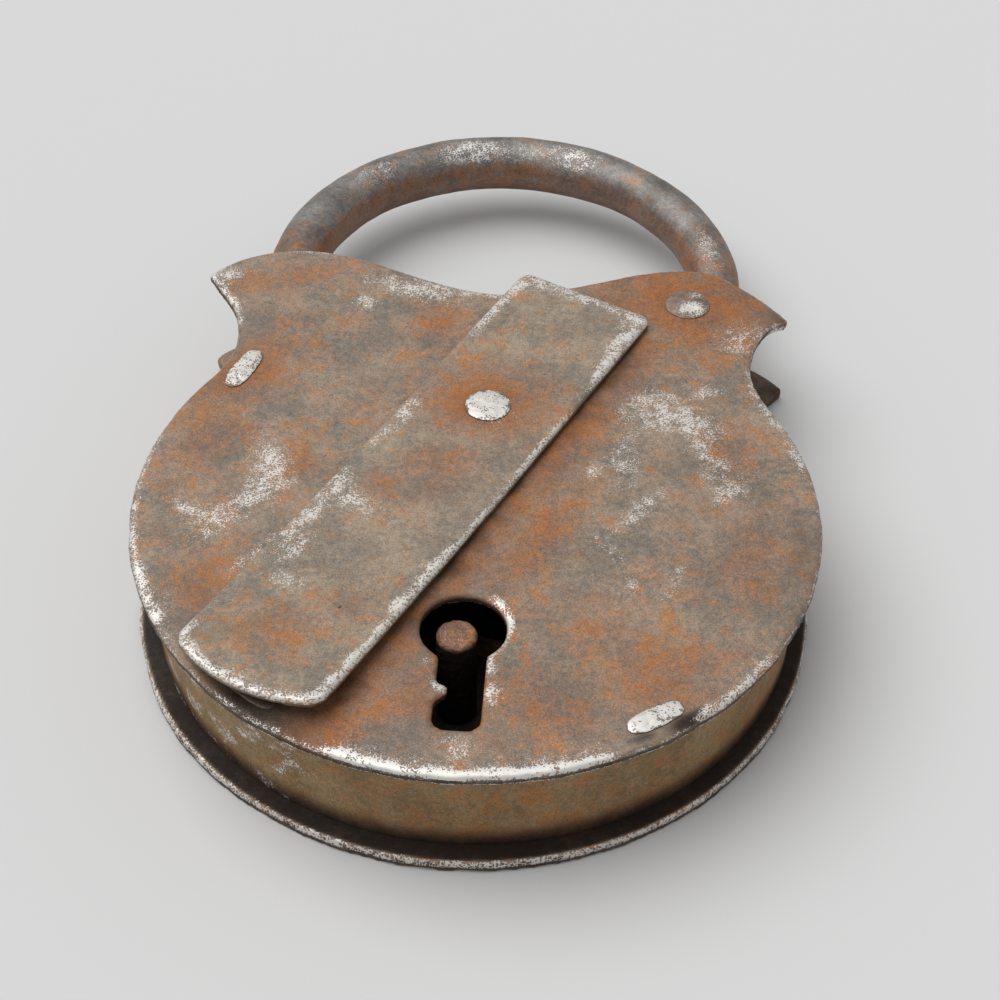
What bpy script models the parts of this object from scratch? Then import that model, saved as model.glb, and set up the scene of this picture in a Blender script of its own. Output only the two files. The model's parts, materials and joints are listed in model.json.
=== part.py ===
"""Old iron padlock with a swinging keyhole cover.

Two flat plates of one outline are held apart by a rim band, whose tenons are peened through both
plates.  A round bar shackle turns on a rivet in the right-hand lobe, its toe drops between the
plates on the left, and a sliding bolt inside enters a notch in the toe.  A flat cover hangs from
its own rivet over the keyhole and is swung aside.

Units are metres.  The padlock lies on its back plate: +X is right, +Y points to the shackle and
+Z comes out of the front plate.  The origin is the centre of the round body, on the back face.
"""

import math

import bmesh
import bpy
from mathutils import Vector
from mathutils.geometry import interpolate_bezier

# Room left between separate pieces that touch on the real padlock
FIT_GAP = 0.0003

# Plates: a round body with a waist, two horned lobes at the top and a saddle between them
BODY_RADIUS = 0.0450
BACK_THICKNESS = 0.0018
FRONT_THICKNESS = 0.0016
PLATE_DISTANCE = 0.0142
WAIST_HALF_WIDTH = 0.0364
WAIST_Y = 0.0312
WAIST_START = math.radians(30.5)
WAIST_REACH = 0.0032
HORN_X = 0.0428
HORN_Y = 0.0456
HORN_REACH = 0.0056
HORN_LEAN = math.radians(53.0)
LOBE_X = 0.0285
LOBE_Y = 0.0528
LOBE_OUTER_REACH = 0.0060
SADDLE_Y = 0.0449
SADDLE_REACH = 0.0100
WORN_ARRIS = 0.0004

# The back plate sits a little out of line with the front plate
BACK_SHIFT_X = -0.0001
BACK_SHIFT_Y = -0.0004

# The front plate's right-hand horn is bent down towards the back plate
HORN_FOLD_OUT = 0.0524
HORN_FOLD_HEADING = math.radians(33.5)
HORN_FOLD_WIDTH = 0.0030
HORN_FOLD_ANGLE = math.radians(25.0)

# Rim band between the plates and the tenons that hold it
EDGE_INSET = 0.0024
BAND_THICKNESS = 0.0020
BAND_LEFT_END_Y = 0.0430
BAND_RIGHT_END_Y = 0.0330
TENON_LENGTH = 0.0068
TENON_ANGLES = (math.radians(-126.0), math.radians(-55.0), math.radians(144.0))
PEEN_PROUD = 0.0001

# Hinge rivet of the shackle and its washers
HINGE_FROM_LOBE_X = 0.0012
HINGE_FROM_LOBE_TOP = 0.0086
HINGE_SHANK_RADIUS = 0.0023
HINGE_HEAD_RADIUS = 0.0028
HINGE_WASHER_RADIUS = 0.0052
COUNTERSINK = 0.0009

# Shackle: a horseshoe of round bar with an eye at the hinge and a straight toe
SHACKLE_RISE = 0.0131
SHACKLE_LEG_OUT = 0.0025
SHACKLE_TOE_OUT = 0.0013
CROWN_RADIUS = 0.0047
LEG_RADIUS = 0.0044
HINGE_LEG_RADIUS = 0.0041
EYE_RADIUS = 0.0056
EYE_THICKNESS = 0.0086
TOE_TURN = math.radians(17.0)
TOE_LENGTH = 0.0195
TOE_TIP_ROUND = 0.0010
TOE_STOP_RADIUS = 0.0018

# Top strip: an upturned U between the shackle's legs
STRIP_TOE_CLEARANCE = 0.0004
STRIP_EYE_CLEARANCE = 0.0013
STRIP_LEG_PAST_BOLT = 0.0006
STRIP_TENON_LENGTH = 0.0026
STRIP_TENON_ABOVE_BOLT = 0.0062

# Keyhole and the pin that the hollow key fits over
KEYHOLE_RADIUS = 0.0054
SLOT_REACH = 0.0162
SLOT_EDGE_MARGIN = 0.0075
SLOT_RIGHT_X = 0.0032
SLOT_LEFT_X = 0.0026
SLOT_CORNER = 0.0010
NUB_TIP_X = 0.0011
NUB_RISE = 0.0062
NUB_WIDTH = 0.0020
DRILL_PIN_X = -0.0008
DRILL_PIN_RADIUS = 0.0026
DRILL_PIN_NECK_RADIUS = 0.0018
DRILL_PIN_BELOW_FACE = 0.0012

# Keyhole cover and its rivet
COVER_PIVOT_X = 0.0002
COVER_PIVOT_Y = 0.0182
COVER_SWING = math.radians(-26.2)
COVER_WIDTH = 0.0210
COVER_THICKNESS = 0.0012
COVER_TAIL = 0.0285
COVER_EDGE_MARGIN = 0.0032
COVER_END_SAG = 0.0030
COVER_CORNER = 0.0010
COVER_LIFT = 0.0020
COVER_FLAT_REACH = 0.0080
COVER_RIVET_SHANK_RADIUS = 0.0020
COVER_RIVET_HEAD_RADIUS = 0.0027
COVER_RIVET_TAIL_RADIUS = 0.0034
COVER_RIVET_TAIL_HEIGHT = 0.0010
COVER_COUNTERSINK = 0.0007

# Bolt: a flat plate that slides left on two posts
BOLT_THROW = 0.0065
BOLT_THICKNESS = 0.0026
BOLT_HEAD_WIDTH = 0.0040
BOLT_HEAD_RISE = 0.0057
BOLT_HEAD_SET_BACK = 0.0005
BOLT_WALL = 0.0027
BOLT_CLEARANCE = 0.0004
NOTCH_CLEARANCE = 0.0005
FOOT_HEIGHT = 0.0040
FOOT_TAIL = 0.0135
TALON_DEPTH = 0.0040
TALON_WIDTH = 0.0035
TALON_NOTCH = 0.0060
FOOT_ABOVE_KEY = 0.0013
KEY_CLEARANCE = 0.0005
POST_RADIUS = 0.0020
POST_SHOULDER_RADIUS = 0.0032
POST_INSET = 0.0120
LOWER_POST_RISE = 0.0040
POST_HEAD_RADIUS = 0.0029
POST_HEAD_HEIGHT = 0.0008
POST_WASHER_RADIUS = 0.0042
POST_WASHER_THICKNESS = 0.0008

# Leaf spring that rubs on the bolt's tail
SPRING_THICKNESS = 0.0007
SPRING_WIDTH = 0.0050
SPRING_TOUCH_INSET = 0.0090
SPRING_SPAN = 0.0120
SPRING_CURL = 0.0045
SPRING_CURL_RISE = 0.0022
SPRING_POST_RADIUS = 0.0016
SPRING_POST_RISE = 0.0110

# Ring wards that the key's bit passes
WARD_RADIUS = 0.0100
WARD_THICKNESS = 0.0008
WARD_HEIGHT = 0.0030
WARD_MOUTH = math.radians(64.0)

# Mesh fineness and cutter overshoot
ROUND_STEPS = 28
BODY_STEPS = 34
CURVE_STEPS = 9
WARD_STEPS = 26
SHACKLE_STEPS = 46
SHACKLE_BEVEL_RESOLUTION = 6
OVERSHOOT = 0.0010
SMOOTH_ANGLE = math.radians(32.0)

# Levels that follow from the plates
BACK_INSIDE = BACK_THICKNESS
FRONT_INSIDE = BACK_INSIDE + PLATE_DISTANCE
FRONT_FACE = FRONT_INSIDE + FRONT_THICKNESS
INNER_FLOOR = BACK_INSIDE + FIT_GAP
INNER_CEILING = FRONT_INSIDE - FIT_GAP
MIDDLE = (BACK_INSIDE + FRONT_INSIDE) / 2
PEEN_TOP = FRONT_FACE + PEEN_PROUD
BOLT_FLOOR = MIDDLE - BOLT_THICKNESS / 2
BOLT_CEILING = MIDDLE + BOLT_THICKNESS / 2
COVER_FLOOR = FRONT_FACE + FIT_GAP
COVER_CEILING = COVER_FLOOR + COVER_THICKNESS

# Places that follow from the outline
HINGE = Vector((LOBE_X - HINGE_FROM_LOBE_X, LOBE_Y - HINGE_FROM_LOBE_TOP, 0))
SHACKLE_CENTRE = Vector(((SHACKLE_LEG_OUT - SHACKLE_TOE_OUT) / 2, HINGE.y + SHACKLE_RISE, 0))
SHACKLE_RADIUS = math.hypot(HINGE.x + (SHACKLE_LEG_OUT + SHACKLE_TOE_OUT) / 2, SHACKLE_RISE)
TOE_HEADING = Vector((math.sin(TOE_TURN), -math.cos(TOE_TURN), 0))
TOE_INWARD = Vector((math.cos(TOE_TURN), math.sin(TOE_TURN), 0))
TOE_BEND = SHACKLE_CENTRE - TOE_INWARD * SHACKLE_RADIUS
TOE_TIP = TOE_BEND + TOE_HEADING * TOE_LENGTH
TOE_CORNER = TOE_TIP + TOE_INWARD * LEG_RADIUS
STRIP_LEFT_X = TOE_CORNER.x + STRIP_TOE_CLEARANCE + BAND_THICKNESS / 2
STRIP_RIGHT_X = HINGE.x - EYE_RADIUS - STRIP_EYE_CLEARANCE - BAND_THICKNESS / 2
SLOT_END_Y = SLOT_EDGE_MARGIN - BODY_RADIUS
KEY_CENTRE = Vector((0, SLOT_END_Y + SLOT_REACH, 0))
DRILL_PIN = KEY_CENTRE + Vector((DRILL_PIN_X, 0, 0))
COVER_PIVOT = Vector((COVER_PIVOT_X, COVER_PIVOT_Y, 0))
COVER_REACH = COVER_PIVOT_Y + BODY_RADIUS - COVER_EDGE_MARGIN
BOLT_HEAD_Y = TOE_TIP.y + BOLT_HEAD_RISE
STRIP_TENON_Y = BOLT_HEAD_Y + STRIP_TENON_ABOVE_BOLT
BOLT_TIP_X = STRIP_LEFT_X - BAND_THICKNESS / 2 + BOLT_HEAD_SET_BACK
STEM_LEFT = STRIP_LEFT_X + BAND_THICKNESS / 2 + BOLT_THROW + BOLT_CLEARANCE
POST_X = STEM_LEFT + BOLT_WALL + POST_RADIUS + BOLT_CLEARANCE
STEM_RIGHT = POST_X + BOLT_THROW + POST_RADIUS + BOLT_CLEARANCE + BOLT_WALL
STEM_TOP = BOLT_HEAD_Y + BOLT_HEAD_WIDTH / 2
FOOT_FLOOR = KEY_CENTRE.y + SLOT_REACH - KEY_CLEARANCE + FOOT_ABOVE_KEY
FOOT_TOP = FOOT_FLOOR + FOOT_HEIGHT
TALON_CENTRE = DRILL_PIN.x + BOLT_THROW / 2
TALON_RIGHT = TALON_CENTRE + TALON_NOTCH / 2 + TALON_WIDTH
TAIL_END = TALON_RIGHT + FOOT_TAIL
POST_PLACES = (Vector((POST_X, STEM_TOP - POST_INSET, 0)), Vector((POST_X, FOOT_TOP + LOWER_POST_RISE, 0)))
SPRING_TOUCH = Vector((TAIL_END - SPRING_TOUCH_INSET, FOOT_TOP + FIT_GAP + SPRING_THICKNESS / 2, 0))
SPRING_POST = SPRING_TOUCH + Vector((SPRING_SPAN, SPRING_POST_RISE, 0))
TOE_STOP = TOE_TIP + TOE_HEADING * (TOE_STOP_RADIUS + FIT_GAP)

# Colours (sRGB), roughness and metallic value of each kind of iron on the padlock
FINISHES = {
    "rusted_plate": ("8C6F58", 0.72, 0.55),
    "rusted_band": ("7A5F48", 0.75, 0.50),
    "worn_shackle": ("857A70", 0.58, 0.75),
    "worn_rivet": ("C9C4BC", 0.42, 0.90),
    "brown_pin": ("8A6A58", 0.62, 0.60),
    "inner_iron": ("5A4C40", 0.80, 0.45),
}


def clear_scene():
    """Remove every object of the scene that the script is run in."""
    for obj in list(bpy.data.objects):
        bpy.data.objects.remove(obj, do_unlink=True)


def linear_colour(hex_colour):
    """The linear RGBA colour of an sRGB hex colour."""
    shares = [int(hex_colour[i:i + 2], 16) / 255 for i in (0, 2, 4)]
    return [s / 12.92 if s <= 0.04045 else ((s + 0.055) / 1.055) ** 2.4 for s in shares] + [1.0]


def apply_finish(obj, finish):
    """Give the object a material of its own in one of the padlock's finishes."""
    colour, roughness, metallic = FINISHES[finish]
    material = bpy.data.materials.new(obj.name + "_" + finish)
    material.use_nodes = True
    shader = material.node_tree.nodes["Principled BSDF"]
    shader.inputs["Base Color"].default_value = linear_colour(colour)
    shader.inputs["Roughness"].default_value = roughness
    shader.inputs["Metallic"].default_value = metallic
    obj.data.materials.clear()
    obj.data.materials.append(material)


def add_object(name, mesh, location=(0, 0, 0)):
    """Link a new object for the mesh at the location."""
    obj = bpy.data.objects.new(name, mesh)
    obj.location = location
    bpy.context.scene.collection.objects.link(obj)
    return obj


def mesh_from(name, bm):
    """Turn a bmesh into a mesh with its faces pointing out and its round sides smooth."""
    bmesh.ops.recalc_face_normals(bm, faces=bm.faces)
    mesh = bpy.data.meshes.new(name)
    bm.to_mesh(mesh)
    bm.free()
    mesh.shade_smooth()
    mesh.set_sharp_from_angle(angle=SMOOTH_ANGLE)
    return mesh


def prism(outline, floor, ceiling, arris=0.0):
    """A bmesh of the outline pulled up from floor to ceiling, its upper edge chamfered by arris."""
    bm = bmesh.new()
    base = bm.faces.new([bm.verts.new((p[0], p[1], floor)) for p in outline])
    sides = bmesh.ops.extrude_face_region(bm, geom=[base])
    top = [v for v in sides["geom"] if isinstance(v, bmesh.types.BMVert)]
    bmesh.ops.translate(bm, verts=top, vec=(0, 0, ceiling - floor))
    bmesh.ops.recalc_face_normals(bm, faces=bm.faces)
    if arris > 0:
        rim = [e for e in bm.edges if all(abs(v.co.z - ceiling) < FIT_GAP / 10 for v in e.verts)]
        bmesh.ops.bevel(bm, geom=rim, offset=arris, segments=1, affect="EDGES")
    return bm


def turned(profile, centre=(0, 0, 0)):
    """A bmesh of the (radius, height) profile turned about the upright axis through centre."""
    bm = bmesh.new()
    verts = [bm.verts.new((r, 0, z)) for r, z in profile]
    edges = [bm.edges.new(pair) for pair in zip(verts, verts[1:] + verts[:1])]
    bmesh.ops.spin(bm, geom=verts + edges, cent=(0, 0, 0), axis=(0, 0, 1), angle=math.tau,
                   steps=ROUND_STEPS, use_merge=True)
    bmesh.ops.remove_doubles(bm, verts=bm.verts, dist=FIT_GAP / 100)
    flat = [e for e in bm.edges if not e.link_faces]
    bmesh.ops.delete(bm, geom=flat, context="EDGES")
    bmesh.ops.translate(bm, verts=bm.verts, vec=centre)
    bmesh.ops.recalc_face_normals(bm, faces=bm.faces)
    return bm


def side_normals(path):
    """The mitred left-hand normal at each point of an open path."""
    normals = []
    for i, point in enumerate(path):
        before = (point - path[i - 1]).normalized() if i > 0 else None
        after = (path[i + 1] - point).normalized() if i < len(path) - 1 else None
        first = before or after
        second = after or before
        left = Vector((-first.y - second.y, first.x + second.x, 0)).normalized()
        normals.append(left / max(left.dot(Vector((-first.y, first.x, 0))), 0.5))
    return normals


def shifted(path, distance):
    """The path moved to its left by the distance."""
    return [p + n * distance for p, n in zip(path, side_normals(path))]


def wall(path, thickness, levels, is_solid):
    """A bmesh of an upright wall along a path, made of cells between its points and its levels.

    is_solid(i, k) says whether there is a cell from point i to the next and from level k to the next.
    """
    bm = bmesh.new()
    sides = (shifted(path, thickness / 2), shifted(path, -thickness / 2))
    corners = {}

    def corner(side, i, k):
        key = (side, i, k)
        if key not in corners:
            point = sides[side][i]
            corners[key] = bm.verts.new((point.x, point.y, levels[k]))
        return corners[key]

    def solid(i, k):
        return 0 <= i < len(path) - 1 and 0 <= k < len(levels) - 1 and is_solid(i, k)

    def face(*keys):
        bm.faces.new([corner(*key) for key in keys])

    for i in range(len(path) - 1):
        for k in range(len(levels) - 1):
            if not solid(i, k):
                continue
            for s in (0, 1):
                face((s, i, k), (s, i + 1, k), (s, i + 1, k + 1), (s, i, k + 1))
            for j, beside in ((i, i - 1), (i + 1, i + 1)):
                if not solid(beside, k):
                    face((0, j, k), (1, j, k), (1, j, k + 1), (0, j, k + 1))
            for m, beside in ((k, k - 1), (k + 1, k + 1)):
                if not solid(i, beside):
                    face((0, i, m), (0, i + 1, m), (1, i + 1, m), (1, i, m))
    bmesh.ops.recalc_face_normals(bm, faces=bm.faces)
    return bm


def cut(target, pieces):
    """Cut the bmesh pieces out of the target with one hidden cutter."""
    joined = bmesh.new()
    for piece in pieces:
        part = bpy.data.meshes.new("cutter_piece")
        piece.to_mesh(part)
        piece.free()
        joined.from_mesh(part)
        bpy.data.meshes.remove(part)
    mesh = bpy.data.meshes.new("cutter_" + target.name)
    joined.to_mesh(mesh)
    joined.free()
    cutter = add_object("cutter_" + target.name, mesh, target.location)
    cutter.rotation_euler = target.rotation_euler
    cutter.hide_render = True
    cutter.display_type = "WIRE"
    modifier = target.modifiers.new("Cut", "BOOLEAN")
    modifier.operation = "DIFFERENCE"
    modifier.solver = "EXACT"
    modifier.object = cutter


def polar(radius, angle, centre=Vector((0, 0, 0))):
    """The point at a radius and an angle about a centre."""
    return centre + Vector((math.cos(angle), math.sin(angle), 0)) * radius


def body_arc():
    """Right half of the round body, from its lowest point up to the waist."""
    span = WAIST_START + math.pi / 2
    return [polar(BODY_RADIUS, span * i / BODY_STEPS - math.pi / 2) for i in range(BODY_STEPS)]


def waist_curve():
    """From the round body through the waist and out to the tip of the right-hand horn."""
    start = polar(BODY_RADIUS, WAIST_START)
    upward = polar(1, WAIST_START + math.pi / 2)
    waist = Vector((WAIST_HALF_WIDTH, WAIST_Y, 0))
    rise = Vector((0, 1, 0))
    horn = Vector((HORN_X, HORN_Y, 0))
    lean = polar(1, HORN_LEAN)
    lower = interpolate_bezier(start, start + upward * WAIST_REACH, waist - rise * WAIST_REACH, waist,
                               CURVE_STEPS)
    upper = interpolate_bezier(waist, waist + rise * HORN_REACH, horn - lean * HORN_REACH, horn, CURVE_STEPS)
    return lower + upper[1:]


def lobe_curve():
    """From the tip of the horn over the outer side of the lobe to its top."""
    horn = Vector((HORN_X, HORN_Y, 0))
    top = Vector((LOBE_X, LOBE_Y, 0))
    outward = polar(1, math.pi - HORN_LEAN)
    side = Vector((LOBE_OUTER_REACH, 0, 0))
    return interpolate_bezier(horn, horn + outward * HORN_REACH, top + side, top, CURVE_STEPS)


def saddle_curve():
    """From the top of the right-hand lobe down to the middle of the saddle."""
    top = Vector((LOBE_X, LOBE_Y, 0))
    middle = Vector((0, SADDLE_Y, 0))
    side = Vector((SADDLE_REACH, 0, 0))
    return interpolate_bezier(top, top - side, middle + side, middle, CURVE_STEPS + 3)


def mirrored(path):
    """The path on the other side of the padlock, run backwards."""
    return [Vector((-p.x, p.y, p.z)) for p in reversed(path)]


def plate_outline():
    """The closed outline that both plates share, counter-clockwise from the bottom."""
    right = body_arc() + waist_curve() + lobe_curve()[1:] + saddle_curve()[1:]
    return right + mirrored(right)[1:-1]


def clipped_below(path, height):
    """The start of an upward path, ended where it reaches the height."""
    kept = [path[0]]
    for before, point in zip(path, path[1:]):
        if point.y >= height:
            return kept + [before.lerp(point, (height - before.y) / (point.y - before.y))]
        kept.append(point)
    return kept


def around(point):
    """The angle of a point about the body's centre, counted on from the rim band's left end."""
    angle = math.atan2(point.y, point.x)
    return angle - math.tau if angle > math.pi / 2 else angle


def tenon_spans(grow=0.0):
    """The angles at which each tenon of the rim band starts and ends, each end moved out by grow."""
    half = (TENON_LENGTH / 2 + grow) / (BODY_RADIUS - EDGE_INSET - BAND_THICKNESS / 2)
    middles = [around(polar(1, angle)) for angle in TENON_ANGLES]
    return [(middle - half, middle + half) for middle in middles]


def band_path():
    """The middle line of the rim band from its left end, by the bottom, to its right end."""
    inset = EDGE_INSET + BAND_THICKNESS / 2
    side = shifted(waist_curve(), inset)
    right = clipped_below(side, BAND_RIGHT_END_Y)
    left = mirrored(clipped_below(side, BAND_LEFT_END_Y))
    sweep = math.pi + 2 * WAIST_START
    turns = [WAIST_START - sweep * (1 - i / (2 * BODY_STEPS)) for i in range(1, 2 * BODY_STEPS)]
    return left + [polar(BODY_RADIUS - inset, turn) for turn in turns] + right


def point_at(path, angle):
    """The point where the rim band's path passes an angle about the body's centre."""
    for before, point in zip(path, path[1:]):
        if around(before) <= angle < around(point):
            return before.lerp(point, (angle - around(before)) / (around(point) - around(before)))
    return path[-1]


def span_of(path, start, end):
    """The stretch of the rim band's path between two angles."""
    inside = [p for p in path if start < around(p) < end]
    return [point_at(path, start)] + inside + [point_at(path, end)]


def with_tenon_ends(path):
    """The rim band's path with a point at each end of each tenon, and no others close to them."""
    ends = [angle for span in tenon_spans() for angle in span]
    near = FIT_GAP / BODY_RADIUS
    kept = [p for p in path if all(abs(around(p) - end) > near for end in ends)]
    return sorted(kept + [point_at(path, end) for end in ends], key=around)


def strip_path():
    """The middle line of the top strip: up the left leg, along under the saddle, down the right leg."""
    inset = EDGE_INSET + BAND_THICKNESS / 2
    right = saddle_curve()
    outline = right + mirrored(right)[1:]
    under = shifted(outline, inset)
    between = [p for p in under if STRIP_LEFT_X + FIT_GAP < p.x < STRIP_RIGHT_X - FIT_GAP]
    left_rises = strip_leg_levels()
    left = [Vector((STRIP_LEFT_X, y, 0)) for y in left_rises]
    right_leg = [Vector((STRIP_RIGHT_X, y, 0)) for y in reversed(left_rises)]
    left_corner = corner_on(under, STRIP_LEFT_X)
    right_corner = corner_on(under, STRIP_RIGHT_X)
    return left + [left_corner] + between[::-1] + [right_corner] + right_leg


def corner_on(path, x):
    """The point of a leftward path at the given x."""
    for before, point in zip(path, path[1:]):
        if before.x >= x > point.x:
            return before.lerp(point, (before.x - x) / (before.x - point.x))
    return path[-1]


def strip_leg_levels():
    """Heights of the leg's end, of the bolt's window and of the tenon, from the bottom up."""
    window = BOLT_HEAD_WIDTH / 2 + BOLT_CLEARANCE
    tenon = STRIP_TENON_LENGTH / 2
    leg_end = BOLT_HEAD_Y - window - STRIP_LEG_PAST_BOLT
    return [leg_end, BOLT_HEAD_Y - window, BOLT_HEAD_Y + window, STRIP_TENON_Y - tenon,
            STRIP_TENON_Y + tenon]


def keyhole_outline():
    """A round hole with a slot below it; a worn nub stands into the slot from its left side."""
    right_turn = -math.acos(SLOT_RIGHT_X / KEYHOLE_RADIUS)
    left_turn = math.pi + math.acos(SLOT_LEFT_X / KEYHOLE_RADIUS)
    sweep = left_turn - right_turn
    hole = [polar(KEYHOLE_RADIUS, right_turn + sweep * i / ROUND_STEPS, KEY_CENTRE)
            for i in range(ROUND_STEPS + 1)]
    nub_y = SLOT_END_Y + NUB_RISE
    slot = [(-SLOT_LEFT_X, nub_y + NUB_WIDTH), (-SLOT_LEFT_X, nub_y + NUB_WIDTH / 2),
            (-NUB_TIP_X, nub_y + NUB_WIDTH / 4), (-NUB_TIP_X, nub_y - NUB_WIDTH / 4),
            (-SLOT_LEFT_X, nub_y - NUB_WIDTH), (-SLOT_LEFT_X, SLOT_END_Y + SLOT_CORNER),
            (SLOT_CORNER - SLOT_LEFT_X, SLOT_END_Y), (SLOT_RIGHT_X - SLOT_CORNER, SLOT_END_Y),
            (SLOT_RIGHT_X, SLOT_END_Y + SLOT_CORNER)]
    return hole + [Vector((x, y, 0)) for x, y in slot]


def rod_profile(radius, floor, ceiling):
    """Profile of a plain round rod."""
    return [(0, floor), (radius, floor), (radius, ceiling), (0, ceiling)]


def ring_profile(inner, outer, floor, ceiling):
    """Profile of a washer."""
    return [(inner, floor), (outer, floor), (outer, ceiling), (inner, ceiling)]


def hinge_rivet_profile(grow=0.0, past=0.0):
    """Profile of the shackle's rivet, peened into both plates; grow and past make its hole."""
    head = HINGE_HEAD_RADIUS + grow
    shank = HINGE_SHANK_RADIUS + grow
    top = PEEN_TOP
    return [(0, -past), (head, -past), (head, 0), (shank, COUNTERSINK), (shank, top - COUNTERSINK),
            (head, top), (head, top + past), (0, top + past)]


def cover_rivet_profile(grow=0.0, past=0.0):
    """Profile of the cover's rivet from its tail inside the case to its countersunk head."""
    top = COVER_CEILING + PEEN_PROUD
    tail_top = INNER_CEILING
    shank = COVER_RIVET_SHANK_RADIUS + grow
    head = COVER_RIVET_HEAD_RADIUS + grow
    tail = COVER_RIVET_TAIL_RADIUS if grow == 0 else shank
    return [(0, tail_top - COVER_RIVET_TAIL_HEIGHT), (tail, tail_top - COVER_RIVET_TAIL_HEIGHT),
            (tail, tail_top), (shank, tail_top), (shank, top - COVER_COUNTERSINK), (head, top),
            (head, top + past), (0, top + past)]


def tenon_cutters():
    """Slots for the rim band's tenons, through every level."""
    levels = [-OVERSHOOT, PEEN_TOP + OVERSHOOT]
    width = BAND_THICKNESS + 2 * FIT_GAP
    stretches = [span_of(band_path(), start, end) for start, end in tenon_spans(FIT_GAP)]
    return [wall(stretch, width, levels, lambda i, k: True) for stretch in stretches]


def strip_tenon_cutters(places):
    """Slots for the top strip's tenons at the given x places, through every level."""
    levels = [-OVERSHOOT, PEEN_TOP + OVERSHOOT]
    half = Vector((0, STRIP_TENON_LENGTH / 2 + FIT_GAP, 0))
    pieces = []
    for x in places:
        middle = Vector((x, STRIP_TENON_Y, 0))
        pieces.append(wall([middle - half, middle + half], BAND_THICKNESS + 2 * FIT_GAP, levels,
                           lambda i, k: True))
    return pieces


def bend_horn(bm):
    """Bend what lies past the fold line down towards the back plate."""
    heading = polar(1, HORN_FOLD_HEADING)
    for share in (0, 1 / 3, 2 / 3, 1):
        place = heading * (HORN_FOLD_OUT + HORN_FOLD_WIDTH * share)
        bmesh.ops.bisect_plane(bm, geom=bm.verts[:] + bm.edges[:] + bm.faces[:], plane_co=place,
                               plane_no=heading, dist=FIT_GAP / 100)
    radius = HORN_FOLD_WIDTH / HORN_FOLD_ANGLE
    neutral = (FRONT_INSIDE + FRONT_FACE) / 2
    for vert in bm.verts:
        past = vert.co.dot(heading) - HORN_FOLD_OUT
        if past <= 0 or vert.co.x < 0:
            continue
        turn = HORN_FOLD_ANGLE * min(past / HORN_FOLD_WIDTH, 1)
        straight = max(past - HORN_FOLD_WIDTH, 0)
        height = vert.co.z - neutral
        along = radius * math.sin(turn) + straight * math.cos(turn) + height * math.sin(turn)
        drop = radius * (1 - math.cos(turn)) + straight * math.sin(turn)
        vert.co += heading * (along - past)
        vert.co.z = neutral - drop + height * math.cos(turn)


def make_back_plate():
    """Back plate, riveted a little out of line, with holes for everything that is peened into it."""
    shift = Vector((BACK_SHIFT_X, BACK_SHIFT_Y, 0))
    outline = [point + shift for point in plate_outline()]
    plate = add_object("back_plate", mesh_from("back_plate", prism(outline, 0, BACK_INSIDE)))
    apply_finish(plate, "rusted_plate")
    below, above = -OVERSHOOT, BACK_INSIDE + OVERSHOOT
    neck = rod_profile(DRILL_PIN_NECK_RADIUS + FIT_GAP, below, above)
    post = rod_profile(POST_RADIUS + FIT_GAP, below, above)
    holes = [turned(hinge_rivet_profile(FIT_GAP, OVERSHOOT), HINGE), turned(neck, DRILL_PIN)]
    holes += [turned(post, place) for place in POST_PLACES]
    holes.append(turned(rod_profile(TOE_STOP_RADIUS + FIT_GAP, below, above), TOE_STOP))
    holes.append(turned(rod_profile(SPRING_POST_RADIUS + FIT_GAP, below, above), SPRING_POST))
    cut(plate, holes + tenon_cutters() + strip_tenon_cutters((STRIP_LEFT_X, STRIP_RIGHT_X)))


def make_front_plate():
    """Front plate with the keyhole, a worn upper arris and the bent right-hand horn."""
    bm = prism(plate_outline(), FRONT_INSIDE, FRONT_FACE, WORN_ARRIS)
    bend_horn(bm)
    plate = add_object("front_plate", mesh_from("front_plate", bm))
    apply_finish(plate, "rusted_plate")
    keyhole = prism(keyhole_outline(), FRONT_INSIDE - OVERSHOOT, FRONT_FACE + OVERSHOOT)
    shank = rod_profile(COVER_RIVET_SHANK_RADIUS + FIT_GAP, FRONT_INSIDE - OVERSHOOT, FRONT_FACE + OVERSHOOT)
    holes = [keyhole, turned(shank, COVER_PIVOT), turned(hinge_rivet_profile(FIT_GAP, OVERSHOOT), HINGE)]
    cut(plate, holes + tenon_cutters() + strip_tenon_cutters((STRIP_LEFT_X,)))


def make_rim_band():
    """Rim band whose tenons pass through both plates."""
    path = with_tenon_ends(band_path())
    spans = tenon_spans()

    def is_solid(i, k):
        middle = (around(path[i]) + around(path[i + 1])) / 2
        return k == 1 or any(start < middle < end for start, end in spans)

    levels = [0, INNER_FLOOR, INNER_CEILING, PEEN_TOP]
    band = add_object("rim_band", mesh_from("rim_band", wall(path, BAND_THICKNESS, levels, is_solid)))
    apply_finish(band, "rusted_band")


def make_top_strip():
    """Upturned U under the saddle, with a window for the bolt in its left leg.

    Both legs have a tenon in the back plate, and the left leg has one in the front plate too.
    """
    path = strip_path()
    levels = [0, INNER_FLOOR, BOLT_FLOOR - BOLT_CLEARANCE, BOLT_CEILING + BOLT_CLEARANCE, INNER_CEILING,
              PEEN_TOP]
    window_cell = 1
    left_tenon = 3
    right_tenon = len(path) - 5

    def is_solid(i, k):
        if k == 0:
            return i in (left_tenon, right_tenon)
        if k == len(levels) - 2:
            return i == left_tenon
        return not (i == window_cell and k == 2)

    strip = add_object("top_strip", mesh_from("top_strip", wall(path, BAND_THICKNESS, levels, is_solid)))
    apply_finish(strip, "rusted_band")


def make_turned(name, profile, centre, finish):
    """A turned piece of the given profile, standing at the centre."""
    apply_finish(add_object(name, mesh_from(name, turned(profile)), centre), finish)


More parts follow.
